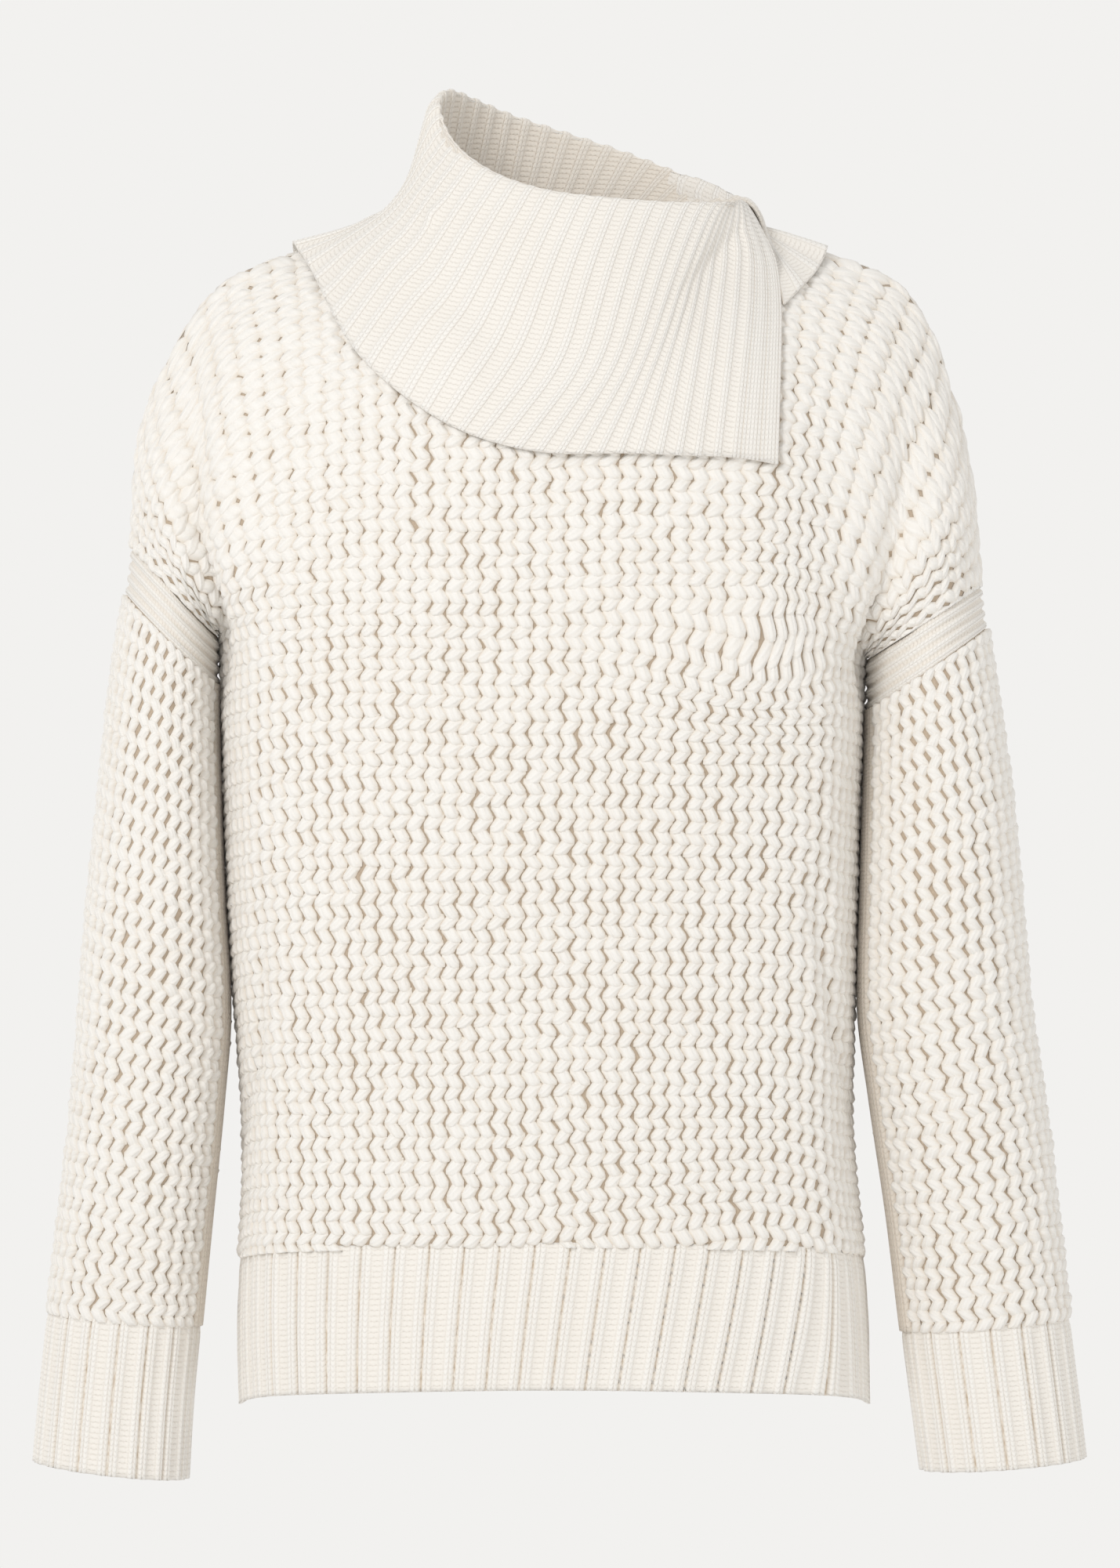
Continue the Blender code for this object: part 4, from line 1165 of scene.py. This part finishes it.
def panels(yarn, ground, inside):
    """Front and back in the chunky knit. Returns their surfaces, which the collar rests on."""
    patches = []
    columns = np.linspace(-ARMHOLE, ARMHOLE, PANEL_MESH[0])
    for name, face, seed in (("front", -1, 11), ("back", 1, 12)):
        patch = panel_patch(face)
        patches.append(patch)
        wall = cloth(name + "_cloth", patch, columns, PANEL_MESH[1], False, [ground, inside])
        knit = stitches(name + "_stitches", patch, panel_centres(patch), yarn, seed)
        place_piece(wall, name)
        place_piece(knit, None)
    return patches


def sleeves(yarn, rib, shaded_underarm_rib, ground, inside):
    """Each sleeve with its underarm strip, its cuff and the band round its armhole."""
    columns = np.arange(SLEEVE_MESH[0]) / SLEEVE_MESH[0]
    for side, rings, seed in (("right", RIGHT_SLEEVE, 21), ("left", LEFT_SLEEVE, 22)):
        name = side + "_sleeve"
        patch = sleeve_patch(rings, BAND_END, CUFF_SEAM)
        wall = cloth(name + "_cloth", patch, columns, SLEEVE_MESH[1], True, [ground, inside])
        centres = sleeve_centres(patch, SLEEVE_COLUMNS, UNDERARM[side])
        knit = stitches(name + "_stitches", patch, centres, yarn, seed)
        strip = underarm(name + "_underarm", patch, UNDERARM[side], [shaded_underarm_rib, inside])
        place_piece(wall, name)
        place_piece(knit, None)
        place_piece(strip, None)

        end = cuff(side + "_cuff_rib", rings, [rib, inside])
        place_piece(end, side + "_cuff")

        ring = band(side + "_armhole_rib", rings, [rib, inside])
        place_piece(ring, side + "_armhole_band")


def main():
    """The room, then the pieces in the order they are sewn."""
    studio()
    yarn = lobe_material("chunky_yarn", CREAM)
    rib = rib_material("rib_yarn", CREAM)
    ground = ground_material("knit_ground", CREAM)
    # the underarm strip's ramp is painted shade, the cream yarn darkened to tan under the arm
    shaded_underarm_rib = rib_material("underarm_shaded_yarn", UNDERARM_SHADE)
    inside = inside_material("knit_inside")

    patches = panels(yarn, ground, inside)
    sleeves(yarn, rib, shaded_underarm_rib, ground, inside)
    for name, face in (("front_hem", -1), ("back_hem", 1)):
        end = hem(name + "_rib", face, [rib, inside])
        place_piece(end, name)
    strip = collar("collar_rib", patches, [rib, rib])
    place_piece(strip, "collar")


main()
